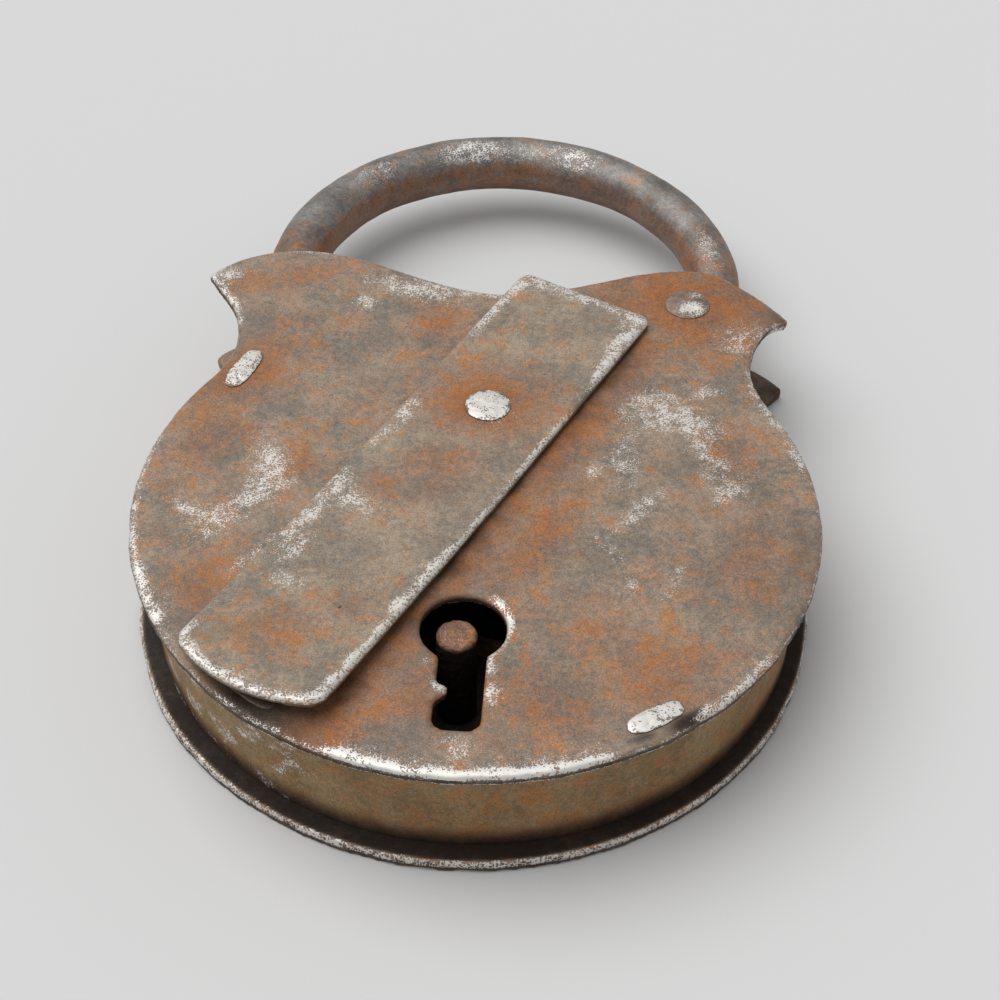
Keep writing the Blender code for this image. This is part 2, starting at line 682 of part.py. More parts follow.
def make_hinge():
    """Rivet of the shackle with a washer on each side of its eye."""
    make_turned("hinge_rivet", hinge_rivet_profile(), HINGE, "worn_rivet")
    bore = HINGE_SHANK_RADIUS + FIT_GAP
    eye_floor = MIDDLE - EYE_THICKNESS / 2 - FIT_GAP
    eye_ceiling = MIDDLE + EYE_THICKNESS / 2 + FIT_GAP
    back = ring_profile(bore, HINGE_WASHER_RADIUS, INNER_FLOOR, eye_floor)
    front = ring_profile(bore, HINGE_WASHER_RADIUS, eye_ceiling, INNER_CEILING)
    make_turned("hinge_washer_back", back, HINGE, "inner_iron")
    make_turned("hinge_washer_front", front, HINGE, "inner_iron")


def make_cover_rivet():
    """Rivet that the cover turns on."""
    make_turned("cover_rivet", cover_rivet_profile(), COVER_PIVOT, "worn_rivet")


def make_drill_pin():
    """Pin in the keyhole, shouldered on the back plate and a little below the front face."""
    top = FRONT_FACE - DRILL_PIN_BELOW_FACE
    profile = [(0, 0), (DRILL_PIN_NECK_RADIUS, 0), (DRILL_PIN_NECK_RADIUS, INNER_FLOOR),
               (DRILL_PIN_RADIUS, INNER_FLOOR), (DRILL_PIN_RADIUS, top - WORN_ARRIS),
               (DRILL_PIN_RADIUS - WORN_ARRIS, top), (0, top)]
    make_turned("drill_pin", profile, DRILL_PIN, "brown_pin")


def make_guide_posts():
    """Two shouldered posts in the bolt's slots, each with a loose washer under its head."""
    shoulder = BOLT_FLOOR - FIT_GAP
    washer_floor = BOLT_CEILING + FIT_GAP
    washer_top = washer_floor + POST_WASHER_THICKNESS
    head_floor = washer_top + FIT_GAP
    head_top = head_floor + POST_HEAD_HEIGHT
    post = [(0, 0), (POST_RADIUS, 0), (POST_RADIUS, INNER_FLOOR), (POST_SHOULDER_RADIUS, INNER_FLOOR),
            (POST_SHOULDER_RADIUS, shoulder), (POST_RADIUS, shoulder), (POST_RADIUS, head_floor),
            (POST_HEAD_RADIUS, head_floor), (POST_HEAD_RADIUS, head_top), (0, head_top)]
    washer = ring_profile(POST_RADIUS + FIT_GAP, POST_WASHER_RADIUS, washer_floor, washer_top)
    for place, side in zip(POST_PLACES, ("upper", "lower")):
        make_turned("guide_post_" + side, post, place, "inner_iron")
        make_turned("post_washer_" + side, washer, place, "inner_iron")


def make_toe_stop():
    """Pin under the toe that stops the closed shackle."""
    make_turned("toe_stop_pin", rod_profile(TOE_STOP_RADIUS, 0, INNER_CEILING), TOE_STOP, "inner_iron")


def make_wards():
    """An open ring on the inside of each plate, with its mouth below the key's slot."""
    start = WARD_MOUTH / 2 - math.pi / 2
    sweep = math.tau - WARD_MOUTH
    path = [polar(WARD_RADIUS, start + sweep * i / WARD_STEPS, DRILL_PIN) for i in range(WARD_STEPS + 1)]
    spans = {"ward_ring_back": [INNER_FLOOR, INNER_FLOOR + WARD_HEIGHT],
             "ward_ring_front": [INNER_CEILING - WARD_HEIGHT, INNER_CEILING]}
    for name, levels in spans.items():
        mesh = mesh_from(name, wall(path, WARD_THICKNESS, levels, lambda i, k: True))
        apply_finish(add_object(name, mesh), "inner_iron")


def make_bolt_spring():
    """Leaf spring that leaves its post and rubs on the top of the bolt's tail."""
    start = SPRING_POST - Vector((0, SPRING_POST_RADIUS + FIT_GAP + SPRING_THICKNESS / 2, 0))
    curl = SPRING_TOUCH + Vector((-SPRING_CURL, SPRING_CURL_RISE, 0))
    level = Vector((SPRING_CURL / 3, 0, 0))
    fall = interpolate_bezier(start, start - level, SPRING_TOUCH + level * 2, SPRING_TOUCH, CURVE_STEPS)
    rise = interpolate_bezier(SPRING_TOUCH, SPRING_TOUCH - level, curl + level / 2, curl, CURVE_STEPS)
    levels = [MIDDLE - SPRING_WIDTH / 2, MIDDLE + SPRING_WIDTH / 2]
    mesh = mesh_from("bolt_spring", wall(fall + rise[1:], SPRING_THICKNESS, levels, lambda i, k: True))
    apply_finish(add_object("bolt_spring", mesh), "inner_iron")
    post = rod_profile(SPRING_POST_RADIUS, 0, INNER_CEILING)
    make_turned("spring_post", post, SPRING_POST, "inner_iron")


def bolt_outline():
    """Outline of the bolt at rest: head to the left, stem on the posts, foot, talon and tail."""
    head_floor = BOLT_HEAD_Y - BOLT_HEAD_WIDTH / 2
    talon_floor = FOOT_FLOOR - TALON_DEPTH
    notch_left = TALON_CENTRE - TALON_NOTCH / 2
    notch_right = TALON_CENTRE + TALON_NOTCH / 2
    return [(BOLT_TIP_X, head_floor), (STEM_LEFT, head_floor), (STEM_LEFT, FOOT_FLOOR),
            (notch_left - TALON_WIDTH, FOOT_FLOOR), (notch_left - TALON_WIDTH, talon_floor),
            (notch_left, talon_floor), (notch_left, FOOT_FLOOR), (notch_right, FOOT_FLOOR),
            (notch_right, talon_floor), (TALON_RIGHT, talon_floor), (TALON_RIGHT, FOOT_FLOOR),
            (TAIL_END, FOOT_FLOOR), (TAIL_END, FOOT_TOP), (STEM_RIGHT, FOOT_TOP), (STEM_RIGHT, STEM_TOP),
            (BOLT_TIP_X, STEM_TOP)]


def make_bolt():
    """Sliding bolt, drawn back as it is at rest, with one slot for each post."""
    bolt = add_object("bolt", mesh_from("bolt", prism(bolt_outline(), BOLT_FLOOR, BOLT_CEILING)))
    apply_finish(bolt, "inner_iron")
    radius = POST_RADIUS + BOLT_CLEARANCE
    levels = (BOLT_FLOOR - OVERSHOOT, BOLT_CEILING + OVERSHOOT)
    slots = []
    for place in POST_PLACES:
        far = place + Vector((BOLT_THROW, 0, 0))
        turns = [math.pi * i / (ROUND_STEPS // 2) for i in range(ROUND_STEPS // 2 + 1)]
        outline = [polar(radius, turn - math.pi / 2, far) for turn in turns]
        outline += [polar(radius, turn + math.pi / 2, place) for turn in turns]
        slots.append(prism(outline, *levels))
    cut(bolt, slots)


def shackle_path():
    """Middle line of the bar from the hinge, over the crown, to the tip of the toe, with its radii."""
    first = -math.asin(SHACKLE_RISE / SHACKLE_RADIUS)
    sweep = math.pi + TOE_TURN - first
    points = []
    for i in range(SHACKLE_STEPS + 1):
        angle = first + sweep * i / SHACKLE_STEPS
        leg = HINGE_LEG_RADIUS if angle < math.pi / 2 else LEG_RADIUS
        swell = (CROWN_RADIUS - leg) * max(math.sin(angle), 0)
        points.append((polar(SHACKLE_RADIUS, angle, SHACKLE_CENTRE), leg + swell))
    middle = (TOE_BEND + TOE_TIP) / 2
    points.append((middle, LEG_RADIUS))
    points.append((TOE_TIP - TOE_HEADING * TOE_TIP_ROUND, LEG_RADIUS))
    points.append((TOE_TIP, LEG_RADIUS - TOE_TIP_ROUND))
    return points


def shackle_bar():
    """Mesh of the bent bar, about the hinge."""
    curve = bpy.data.curves.new("shackle_bar", "CURVE")
    curve.dimensions = "3D"
    curve.bevel_depth = 1.0
    curve.bevel_resolution = SHACKLE_BEVEL_RESOLUTION
    curve.use_fill_caps = True
    points = shackle_path()
    spline = curve.splines.new("POLY")
    spline.points.add(len(points) - 1)
    for target, (place, radius) in zip(spline.points, points):
        target.co = (place.x - HINGE.x, place.y - HINGE.y, MIDDLE, 1)
        target.radius = radius
    guide = add_object("shackle_bar", curve)
    mesh = bpy.data.meshes.new_from_object(guide.evaluated_get(bpy.context.evaluated_depsgraph_get()))
    bpy.data.objects.remove(guide)
    return mesh


def make_shackle():
    """Shackle with its origin on the hinge: bar and eye in one, bored for the rivet and notched."""
    bar = bmesh.new()
    bar.from_mesh(shackle_bar())
    bmesh.ops.remove_doubles(bar, verts=bar.verts, dist=FIT_GAP / 100)
    shackle = add_object("shackle", mesh_from("shackle", bar), HINGE)
    apply_finish(shackle, "worn_shackle")
    floor, ceiling = MIDDLE - EYE_THICKNESS / 2, MIDDLE + EYE_THICKNESS / 2
    eye = add_object("cutter_eye", mesh_from("eye", turned(rod_profile(EYE_RADIUS, floor, ceiling))), HINGE)
    eye.hide_render = True
    eye.display_type = "WIRE"
    join = shackle.modifiers.new("Eye", "BOOLEAN")
    join.operation = "UNION"
    join.solver = "EXACT"
    join.object = eye
    bore = turned(rod_profile(HINGE_SHANK_RADIUS + FIT_GAP, 0, FRONT_FACE))
    half = BOLT_HEAD_WIDTH / 2 + NOTCH_CLEARANCE
    depth = BOLT_TIP_X - BOLT_THROW - NOTCH_CLEARANCE
    inner = depth + 3 * LEG_RADIUS
    corners = [(depth, BOLT_HEAD_Y - half), (inner, BOLT_HEAD_Y - half), (inner, BOLT_HEAD_Y + half),
               (depth, BOLT_HEAD_Y + half)]
    notch = prism([(x - HINGE.x, y - HINGE.y) for x, y in corners], 0, FRONT_FACE)
    cut(shackle, [bore, notch])


def cover_outline():
    """Outline of the hanging cover about its pivot: square top, rounded corners, bowed lower end."""
    half = COVER_WIDTH / 2
    corner = COVER_CORNER
    shoulder = COVER_END_SAG - COVER_REACH
    radius = (half ** 2 + COVER_END_SAG ** 2) / (2 * COVER_END_SAG)
    turn = math.asin((half - corner) / radius)
    centre = Vector((0, radius - COVER_REACH, 0))
    turns = [turn * (2 * i / CURVE_STEPS - 1) - math.pi / 2 for i in range(CURVE_STEPS + 1)]
    bow = [polar(radius, angle, centre) for angle in turns]
    right = [Vector((half, shoulder + corner, 0)), Vector((half, COVER_TAIL - corner, 0))]
    top = [Vector((half - corner, COVER_TAIL, 0)), Vector((corner - half, COVER_TAIL, 0))]
    left = [Vector((-half, COVER_TAIL - corner, 0)), Vector((-half, shoulder + corner, 0))]
    return bow + right + top + left


def lift_cover(bm):
    """Curve the lower half of the cover up from the plate, most at its lower end."""
    span = COVER_REACH - COVER_FLAT_REACH
    for i in range(CURVE_STEPS):
        place = (0, -COVER_FLAT_REACH - span * i / CURVE_STEPS, 0)
        bmesh.ops.bisect_plane(bm, geom=bm.verts[:] + bm.edges[:] + bm.faces[:], plane_co=place,
                               plane_no=(0, 1, 0), dist=FIT_GAP / 100)
    for vert in bm.verts:
        share = max(-vert.co.y - COVER_FLAT_REACH, 0) / span
        vert.co.z += COVER_LIFT * share ** 2


def make_cover():
    """Keyhole cover with its origin on its rivet, swung aside from the keyhole."""
    bm = prism(cover_outline(), COVER_FLOOR, COVER_CEILING, WORN_ARRIS)
    lift_cover(bm)
    cover = add_object("keyhole_cover", mesh_from("keyhole_cover", bm), COVER_PIVOT)
    cover.rotation_euler = (0, 0, COVER_SWING)
    apply_finish(cover, "rusted_plate")
    cut(cover, [turned(cover_rivet_profile(FIT_GAP, OVERSHOOT))])


def build_padlock():
    """Build every piece of the padlock."""
    clear_scene()
    make_back_plate()
    make_front_plate()
    make_rim_band()
    make_top_strip()
    make_hinge()
    make_cover_rivet()
    make_drill_pin()
    make_guide_posts()
    make_toe_stop()
    make_wards()
    make_bolt_spring()
    make_bolt()
    make_shackle()
    make_cover()


build_padlock()
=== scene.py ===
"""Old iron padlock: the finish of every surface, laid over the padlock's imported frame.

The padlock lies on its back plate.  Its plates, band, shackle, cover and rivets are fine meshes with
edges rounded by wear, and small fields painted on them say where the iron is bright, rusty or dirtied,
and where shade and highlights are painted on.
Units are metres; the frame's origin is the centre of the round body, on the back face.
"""

import json
import math

import bmesh
import bpy
import numpy as np
from bpy.props import FloatProperty, FloatVectorProperty, PointerProperty, StringProperty
from mathutils import Matrix, Vector, noise


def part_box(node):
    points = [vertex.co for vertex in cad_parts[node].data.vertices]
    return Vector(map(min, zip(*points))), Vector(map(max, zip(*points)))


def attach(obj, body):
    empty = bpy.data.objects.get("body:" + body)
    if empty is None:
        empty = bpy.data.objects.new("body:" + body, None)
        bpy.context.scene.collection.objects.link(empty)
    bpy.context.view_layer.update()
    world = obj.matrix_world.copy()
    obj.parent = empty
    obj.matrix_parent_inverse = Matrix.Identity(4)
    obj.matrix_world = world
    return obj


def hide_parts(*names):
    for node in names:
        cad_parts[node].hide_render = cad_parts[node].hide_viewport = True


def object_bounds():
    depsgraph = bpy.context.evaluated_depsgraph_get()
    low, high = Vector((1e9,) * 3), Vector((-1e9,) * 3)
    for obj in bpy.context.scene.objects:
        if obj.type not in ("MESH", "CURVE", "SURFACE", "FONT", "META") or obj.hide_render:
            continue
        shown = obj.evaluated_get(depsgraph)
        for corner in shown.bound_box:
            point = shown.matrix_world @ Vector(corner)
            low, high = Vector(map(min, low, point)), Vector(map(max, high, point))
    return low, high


bl_info = {
    "name": "Old iron padlock",
    "version": (1, 0, 0),
    "blender": (4, 5, 0),
    "location": "3D View > Sidebar > Padlock",
    "description": "Dresses the padlock's frame with worn and rusted iron",
    "category": "Object",
}

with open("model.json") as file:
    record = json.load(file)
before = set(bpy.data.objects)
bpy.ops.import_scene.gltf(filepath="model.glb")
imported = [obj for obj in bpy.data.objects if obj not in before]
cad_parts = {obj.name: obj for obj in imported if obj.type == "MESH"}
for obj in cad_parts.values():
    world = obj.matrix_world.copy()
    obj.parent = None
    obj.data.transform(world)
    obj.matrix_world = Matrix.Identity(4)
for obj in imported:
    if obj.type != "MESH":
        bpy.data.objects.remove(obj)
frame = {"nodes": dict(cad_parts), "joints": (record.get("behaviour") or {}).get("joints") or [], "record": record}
cad_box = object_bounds()

MM = 0.001

# Places read from the frame
JOINTS = {joint["name"]: joint for joint in frame["joints"]}
HINGE = Vector(JOINTS["shackle_swing"]["pos_m"])
COVER_PIVOT = Vector(JOINTS["cover_swing"]["pos_m"])
BACK_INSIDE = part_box("back_plate")[1].z
FRONT_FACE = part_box("front_plate")[1].z
PLATE_THICKNESS = 1.6 * MM
FRONT_INSIDE = FRONT_FACE - PLATE_THICKNESS
MIDDLE = HINGE.z
COVER_SWING = math.radians(26.2)

# Distance from the middle to the band, about
BODY_REACH = 45 * MM

# Fineness of the meshes
MERGE = 1e-6
SLIVER = 0.01 * MM
PLATE_GRAIN = 0.42 * MM
STRIP_GRAIN = 0.36 * MM
COVER_GRAIN = 0.30 * MM
SMALL_GRAIN = 0.16 * MM

# The block that closes a hole: how much wider than the tenon, and how far from the inner and outer face
HOLE_GAP = 0.9 * MM
HOLE_RISE = 0.4 * MM
HOLE_SINK = 0.03 * MM

# Half of the keyhole cover's width in millimetres, and the height of the keyhole's middle
COVER_HALF_WIDTH = 10.5
KEYHOLE_Y = -24 * MM

# Colours of the oxide film, light and dark, where they differ from the plates'
COVER_FILM = ("A69683", "837A70")
BAR_FILM = ("8F8B87", "6B6764")
BAND_FILM = ("A2906D", "827152")
HEAD_FILM = ("8F857B", "6F675F")
END_FILM = ("8E7C6B", "6F6156")
PIN_FILM = ("876A5C", "6A5044")
# The inner pieces' nearly black film is painted shade for the inside of the case
INNER_SHADE_FILM = ("4A3E36", "332A24")

# The studio: floor, sun and world
FLOOR_HALF = 1.5
FLOOR_GAP = 0.02 * MM
SUN_ENERGY = 2.18
SUN_SPREAD = math.radians(62)
SUN_HEADING = Vector((-0.42, 0.14, 0.90))
WORLD_COLOUR = "D6D6D6"
WORLD_STRENGTH = 0.62
SENSOR_WIDTH = 36.0
NEAREST_SEEN = 10 * MM


# What every length property has
LENGTH = {"unit": "LENGTH", "precision": 5}


class PadlockPlates(bpy.types.PropertyGroup):
    """Sizes of the wear on the plates and the cover."""

    dent_depth: FloatProperty(
        name="Dent depth", description="How deep the shallow dents in the plates are",
        default=0.10 * MM, **LENGTH)
    edge_wander: FloatProperty(
        name="Edge wander", description="How far the filed edges wander from their outline",
        default=0.22 * MM, **LENGTH)
    bright_edge: FloatProperty(
        name="Bright edge", description="Width of the rubbed line along the plates' edges",
        default=0.85 * MM, **LENGTH)


class PadlockShackle(bpy.types.PropertyGroup):
    """Sizes of the round bar shackle."""

    rise: FloatProperty(
        name="Rise", description="Height of the bend's centre above the hinge",
        default=13.4 * MM, **LENGTH)
    centre_x: FloatProperty(
        name="Centre", description="Distance of the bend's centre to the right of the body's centre",
        default=0.0 * MM, **LENGTH)
    crown_radius: FloatProperty(
        name="Crown radius", description="Radius of the bar at the top of the bend",
        default=4.35 * MM, **LENGTH)
    leg_radius: FloatProperty(
        name="Leg radius", description="Radius of the bar at the toe's leg",
        default=4.2 * MM, **LENGTH)
    hinge_leg_radius: FloatProperty(
        name="Hinge leg radius", description="Radius of the bar at the hinge's leg",
        default=3.8 * MM, **LENGTH)
    outset: FloatProperty(
        name="Outset", description="How far the bend's middle line stands out beyond the hinge",
        default=1.85 * MM, **LENGTH)
    toe_turn: FloatProperty(
        name="Toe turn", description="How far the toe leans inward",
        default=math.radians(17.0), subtype="ANGLE")
    toe_length: FloatProperty(
        name="Toe length", description="Length of the straight toe",
        default=19.5 * MM, **LENGTH)


class PadlockIron(bpy.types.PropertyGroup):
    """Colours of the iron, as sRGB hex values."""

    patina: StringProperty(name="Patina", description="Brown-grey oxide film", default="A08D7B")
    patina_dark: StringProperty(name="Dark patina", description="Grey oxide film", default="7B746C")
    rust: StringProperty(name="Rust", description="Orange rust bloom", default="B8773F")
    rust_deep: StringProperty(name="Deep rust", description="Red-brown rust", default="946038")
    stain: StringProperty(name="Stain", description="Red-brown stain around rivets", default="8A5230")
    # Grime colour: dark dirt, and also the colour of painted shade in corners, on side faces and inside the case
    grime_and_shade: StringProperty(name="Grime", description="Dark dirt in corners", default="2C221B")
    scuffed: StringProperty(name="Scuffed iron", description="Thin pale film", default="B5A89B")
    ochre: StringProperty(name="Ochre", description="Thin yellow rust", default="9A7A4C")
    bright: StringProperty(name="Bright iron", description="Iron rubbed bare", default="DEDBD6")


class PadlockStage(bpy.types.PropertyGroup):
    """Viewing angle and the plain studio."""

    azimuth: FloatProperty(name="Azimuth", description="Camera's turn", default=math.radians(3.046),
                           subtype="ANGLE")
    elevation: FloatProperty(name="Elevation", description="Camera's height angle",
                             default=math.radians(43.975), subtype="ANGLE")
    roll: FloatProperty(name="Roll", description="Camera's roll", default=math.radians(1.129),
                        subtype="ANGLE")
    distance: FloatProperty(name="Distance", description="Camera's distance from its target",
                            default=279.667 * MM, unit="LENGTH")
    target: FloatVectorProperty(name="Target", description="Point the camera looks at",
                                default=(2.9985 * MM, 1.4945 * MM, 17.6 * MM), subtype="TRANSLATION")
    lens: FloatProperty(name="Lens", description="Focal length on a 36 mm sensor, in millimetres",
                        default=77.06)
    floor_colour: StringProperty(name="Floor", description="Pale floor, sRGB hex", default="D4D4D4")


def linear(hex_colour):
    """The linear colour of an sRGB hex value."""
    shares = [int(hex_colour[i:i + 2], 16) / 255 for i in (0, 2, 4)]
    return tuple(s / 12.92 if s <= 0.04045 else ((s + 0.055) / 1.055) ** 2.4 for s in shares) + (1.0,)


def link(name, data):
    """A new object for the data, linked to the scene at the origin."""
    piece = bpy.data.objects.new(name, data)
    bpy.context.scene.collection.objects.link(piece)
    return piece


def settled(piece):
    """The piece with what its modifiers make as its own plain mesh."""
    graph = bpy.context.evaluated_depsgraph_get()
    mesh = bpy.data.meshes.new_from_object(piece.evaluated_get(graph), depsgraph=graph)
    name = piece.name
    bpy.data.objects.remove(piece)
    mesh.name = name
    result = link(name, mesh)
    if len(mesh.vertices) == 0:
        raise RuntimeError(name + " came out empty")
    return result


def mesh_of(bm, name):
    """A new mesh with what the working mesh holds, which is used up."""
    mesh = bpy.data.meshes.new(name)
    bm.to_mesh(mesh)
    bm.free()
    return mesh


def merged_mesh(cad_node):
    """A copy of a CAD node's mesh with its loose triangles joined."""
    bm = bmesh.new()
    bm.from_mesh(frame["nodes"][cad_node].data)
    bmesh.ops.remove_doubles(bm, verts=bm.verts, dist=MERGE)
    return mesh_of(bm, cad_node + "_fine")


def closed_round(mesh, spots, floor, ceiling):
    """Add a block to the mesh at each spot, a little wider than the hole that it closes."""
    bm = bmesh.new()
    bm.from_mesh(mesh)
    for middle, length, width, turn in spots:
        size = Vector((2 * length, 2 * width, 0)) + Vector((HOLE_GAP, HOLE_GAP, ceiling - floor))
        place = Matrix.Translation((middle[0], middle[1], (floor + ceiling) / 2))
        place = place @ Matrix.Rotation(turn, 4, "Z") @ Matrix.Diagonal(size).to_4x4()
        bmesh.ops.create_cube(bm, size=1.0, matrix=place)
    bm.to_mesh(mesh)
    bm.free()


def fine_copy(cad_node, name, grain, rounds, spots=(), floor=0.0, ceiling=0.0):
    """A piece of the CAD node's shape in small even faces, its sharp edges worn round.

    The holes at the spots are closed between floor and ceiling.
    """
    mesh = merged_mesh(cad_node)
    closed_round(mesh, spots, floor, ceiling)
    piece = link(name, mesh)
    remesh = piece.modifiers.new("Even faces", "REMESH")
    remesh.mode = "VOXEL"
    remesh.voxel_size = grain
    remesh.use_smooth_shade = True
    soften = piece.modifiers.new("Worn edges", "SMOOTH")
    soften.factor = 0.5
    soften.iterations = rounds
    return settled(piece)


def vectors(items, label):
    """The named vector of each item, as an array."""
    flat = np.empty(len(items) * 3, np.float32)
    items.foreach_get(label, flat)
    return flat.reshape(-1, 3).astype(float)


def points_of(piece):
    """The piece's corners as an array."""
    return vectors(piece.data.vertices, "co")


def normals_of(piece):
    """The directions that the piece's corners face, as an array."""
    return vectors(piece.data.vertex_normals, "vector")


def set_points(piece, points):
    """Move the piece's corners."""
    piece.data.vertices.foreach_set("co", points.astype(np.float32).ravel())
    piece.data.update()


def paint(piece, **fields):
    """Store each field, or one number for all, on the piece's corners for its material to read."""
    count = len(piece.data.vertices)
    for name, values in fields.items():
        attribute = piece.data.attributes.get(name) or piece.data.attributes.new(name, "FLOAT", "POINT")
        attribute.data.foreach_set("value", np.broadcast_to(np.clip(values, 0, 2), count).astype(np.float32))


def rough_field(points, size, seed, octaves=3):
    """Smooth random values from about -1 to 1, one for each point, with features of the given size."""
    shift = Vector((seed * 7.31, seed * 3.17, seed * 5.03))
    scale = 1 / size
    return np.array([noise.fractal(Vector(p) * scale + shift, 0.9, 2.1, octaves) for p in points])


def ramp(values, low, high):
    """Values turned to a smooth step from low to high."""
    share = np.clip((values - low) / (high - low), 0, 1)
    return share * share * (3 - 2 * share)


def patches(points, places, spread=1.0):
    """The strength of rubbed or stained places at each point, each place made larger by spread.

    Each place is (x, y, length, width, turn, strength): millimetres on the front face, and degrees.
    """
    field = np.zeros(len(points))
    for x, y, length, width, turn, strength in places:
        across = points[:, :2] / MM - (x, y)
        cos, sin = math.cos(math.radians(turn)) / spread, math.sin(math.radians(turn)) / spread
        along = (across[:, 0] * cos + across[:, 1] * sin) / length
        beside = (across[:, 1] * cos - across[:, 0] * sin) / width
        field = np.maximum(field, strength * np.exp(-(along ** 2 + beside ** 2)))
    return field


def flat_side_loops(cad_node):
    """The closed loops of corners around the under side of a CAD plate, the longest first."""
    bm = bmesh.new()
    bm.from_mesh(merged_mesh(cad_node))
    under = {face for face in bm.faces if face.normal.z < -0.85}
    ends = {}
    for edge in bm.edges:
        if sum(face in under for face in edge.link_faces) == 1:
            a, b = (tuple(vert.co) for vert in edge.verts)
            ends.setdefault(a, []).append(b)
            ends.setdefault(b, []).append(a)
    bm.free()
    loops = []
    while ends:
        point = next(iter(ends))
        loop = []
        while point in ends:
            loop.append(point)
            after = [p for p in ends.pop(point) if p in ends]
            point = after[0] if after else None
        loops.append(np.array(loop))
    return sorted(loops, key=lambda loop: -np.linalg.norm(np.diff(loop, axis=0), axis=1).sum())


def distance_to_loop(points, loop):
    """How far each point lies from a closed loop, seen from above."""
    starts = loop[:, :2]
    spans = np.roll(starts, -1, axis=0) - starts
    nearest = np.full(len(points), np.inf)
    for start, span in zip(starts, spans):
        offset = points[:, :2] - start
        share = np.clip(offset @ span / max(span @ span, 1e-12), 0, 1)
        gap = np.linalg.norm(offset - share[:, None] * span, axis=1)
        nearest = np.minimum(nearest, gap)
    return nearest


def node(tree, kind, inputs=None, **settings):
    """Add a node with its settings; each input takes a value, an output, or a node's working output."""
    made = tree.nodes.new(kind)
    for name, value in settings.items():
        setattr(made, name, value)
    for key, value in (inputs or {}).items():
        if isinstance(value, bpy.types.Node):
            value = next(output for output in value.outputs if output.enabled)
        if isinstance(value, bpy.types.NodeSocket):
            tree.links.new(value, made.inputs[key])
        else:
            made.inputs[key].default_value = value
    return made


# Patterns in the iron: name, size of the features, octaves and roughness
IRON_PATTERNS = (
    ("clouds", 14 * MM, 3.0, 0.60), ("bloom", 4.2 * MM, 6.0, 0.68), ("film", 7.0 * MM, 6.0, 0.62),
    ("fleck", 2.4 * MM, 5.0, 0.64), ("clusters", 1.7 * MM, 3.0, 0.65), ("speckle", 0.75 * MM, 3.0, 0.70),
    ("thread", 0.44 * MM, 1.0, 0.50), ("grit", 0.17 * MM, 1.0, 0.50),
)

# How each layer's share is made: start, patterns added with their weights, the step's range and its ends
IRON_SHARES = (
    ("film_share", "film", (("speckle", 0.33),), (0.48, 0.85), (0, 1), "SMOOTHSTEP"),
    ("ochre_share", "fleck", (), (0.44, 0.66), (0, 0.20), "SMOOTHSTEP"),
    ("rust_share", "rust_start", (("clouds", 0.40), ("bloom", 0.80), ("speckle", 0.30), ("rusty", 0.34)),
     (0.68, 1.32), (0, 1), "SMOOTHSTEP"),
    ("tone_share", "bloom", (("speckle", 0.83),), (0.70, 1.20), (0, 1), "SMOOTHSTEP"),
    ("fleck_share", "fleck", (("clouds", 0.45), ("rusty", 0.10)), (0.74, 0.97), (0, "fleck_most"),
     "SMOOTHSTEP"),
    ("grain", "grit", (("speckle", 0.67),), (0.50, 1.17), (0.58, 1.42), "LINEAR"),
    # This share darkens for dirt and for painted shade alike
    ("dirt_and_shade_share", "dirty", (("bloom", 0.5), ("speckle", 0.3)), (0.55, 1.35), (0, 1), "SMOOTHSTEP"),
    ("spread", "clusters", (), (0.32, 0.66), (0.35, 1.45), "LINEAR"),
    ("clean", "worn", (), (0.45, 1.0), (0.86, 0.98), "LINEAR"),
)

# Roughness and metallic of iron rubbed bare, and the height of the film's relief
BARE_ROUGHNESS = 0.50
BARE_METALLIC = 0.62
RELIEF = 0.05 * MM


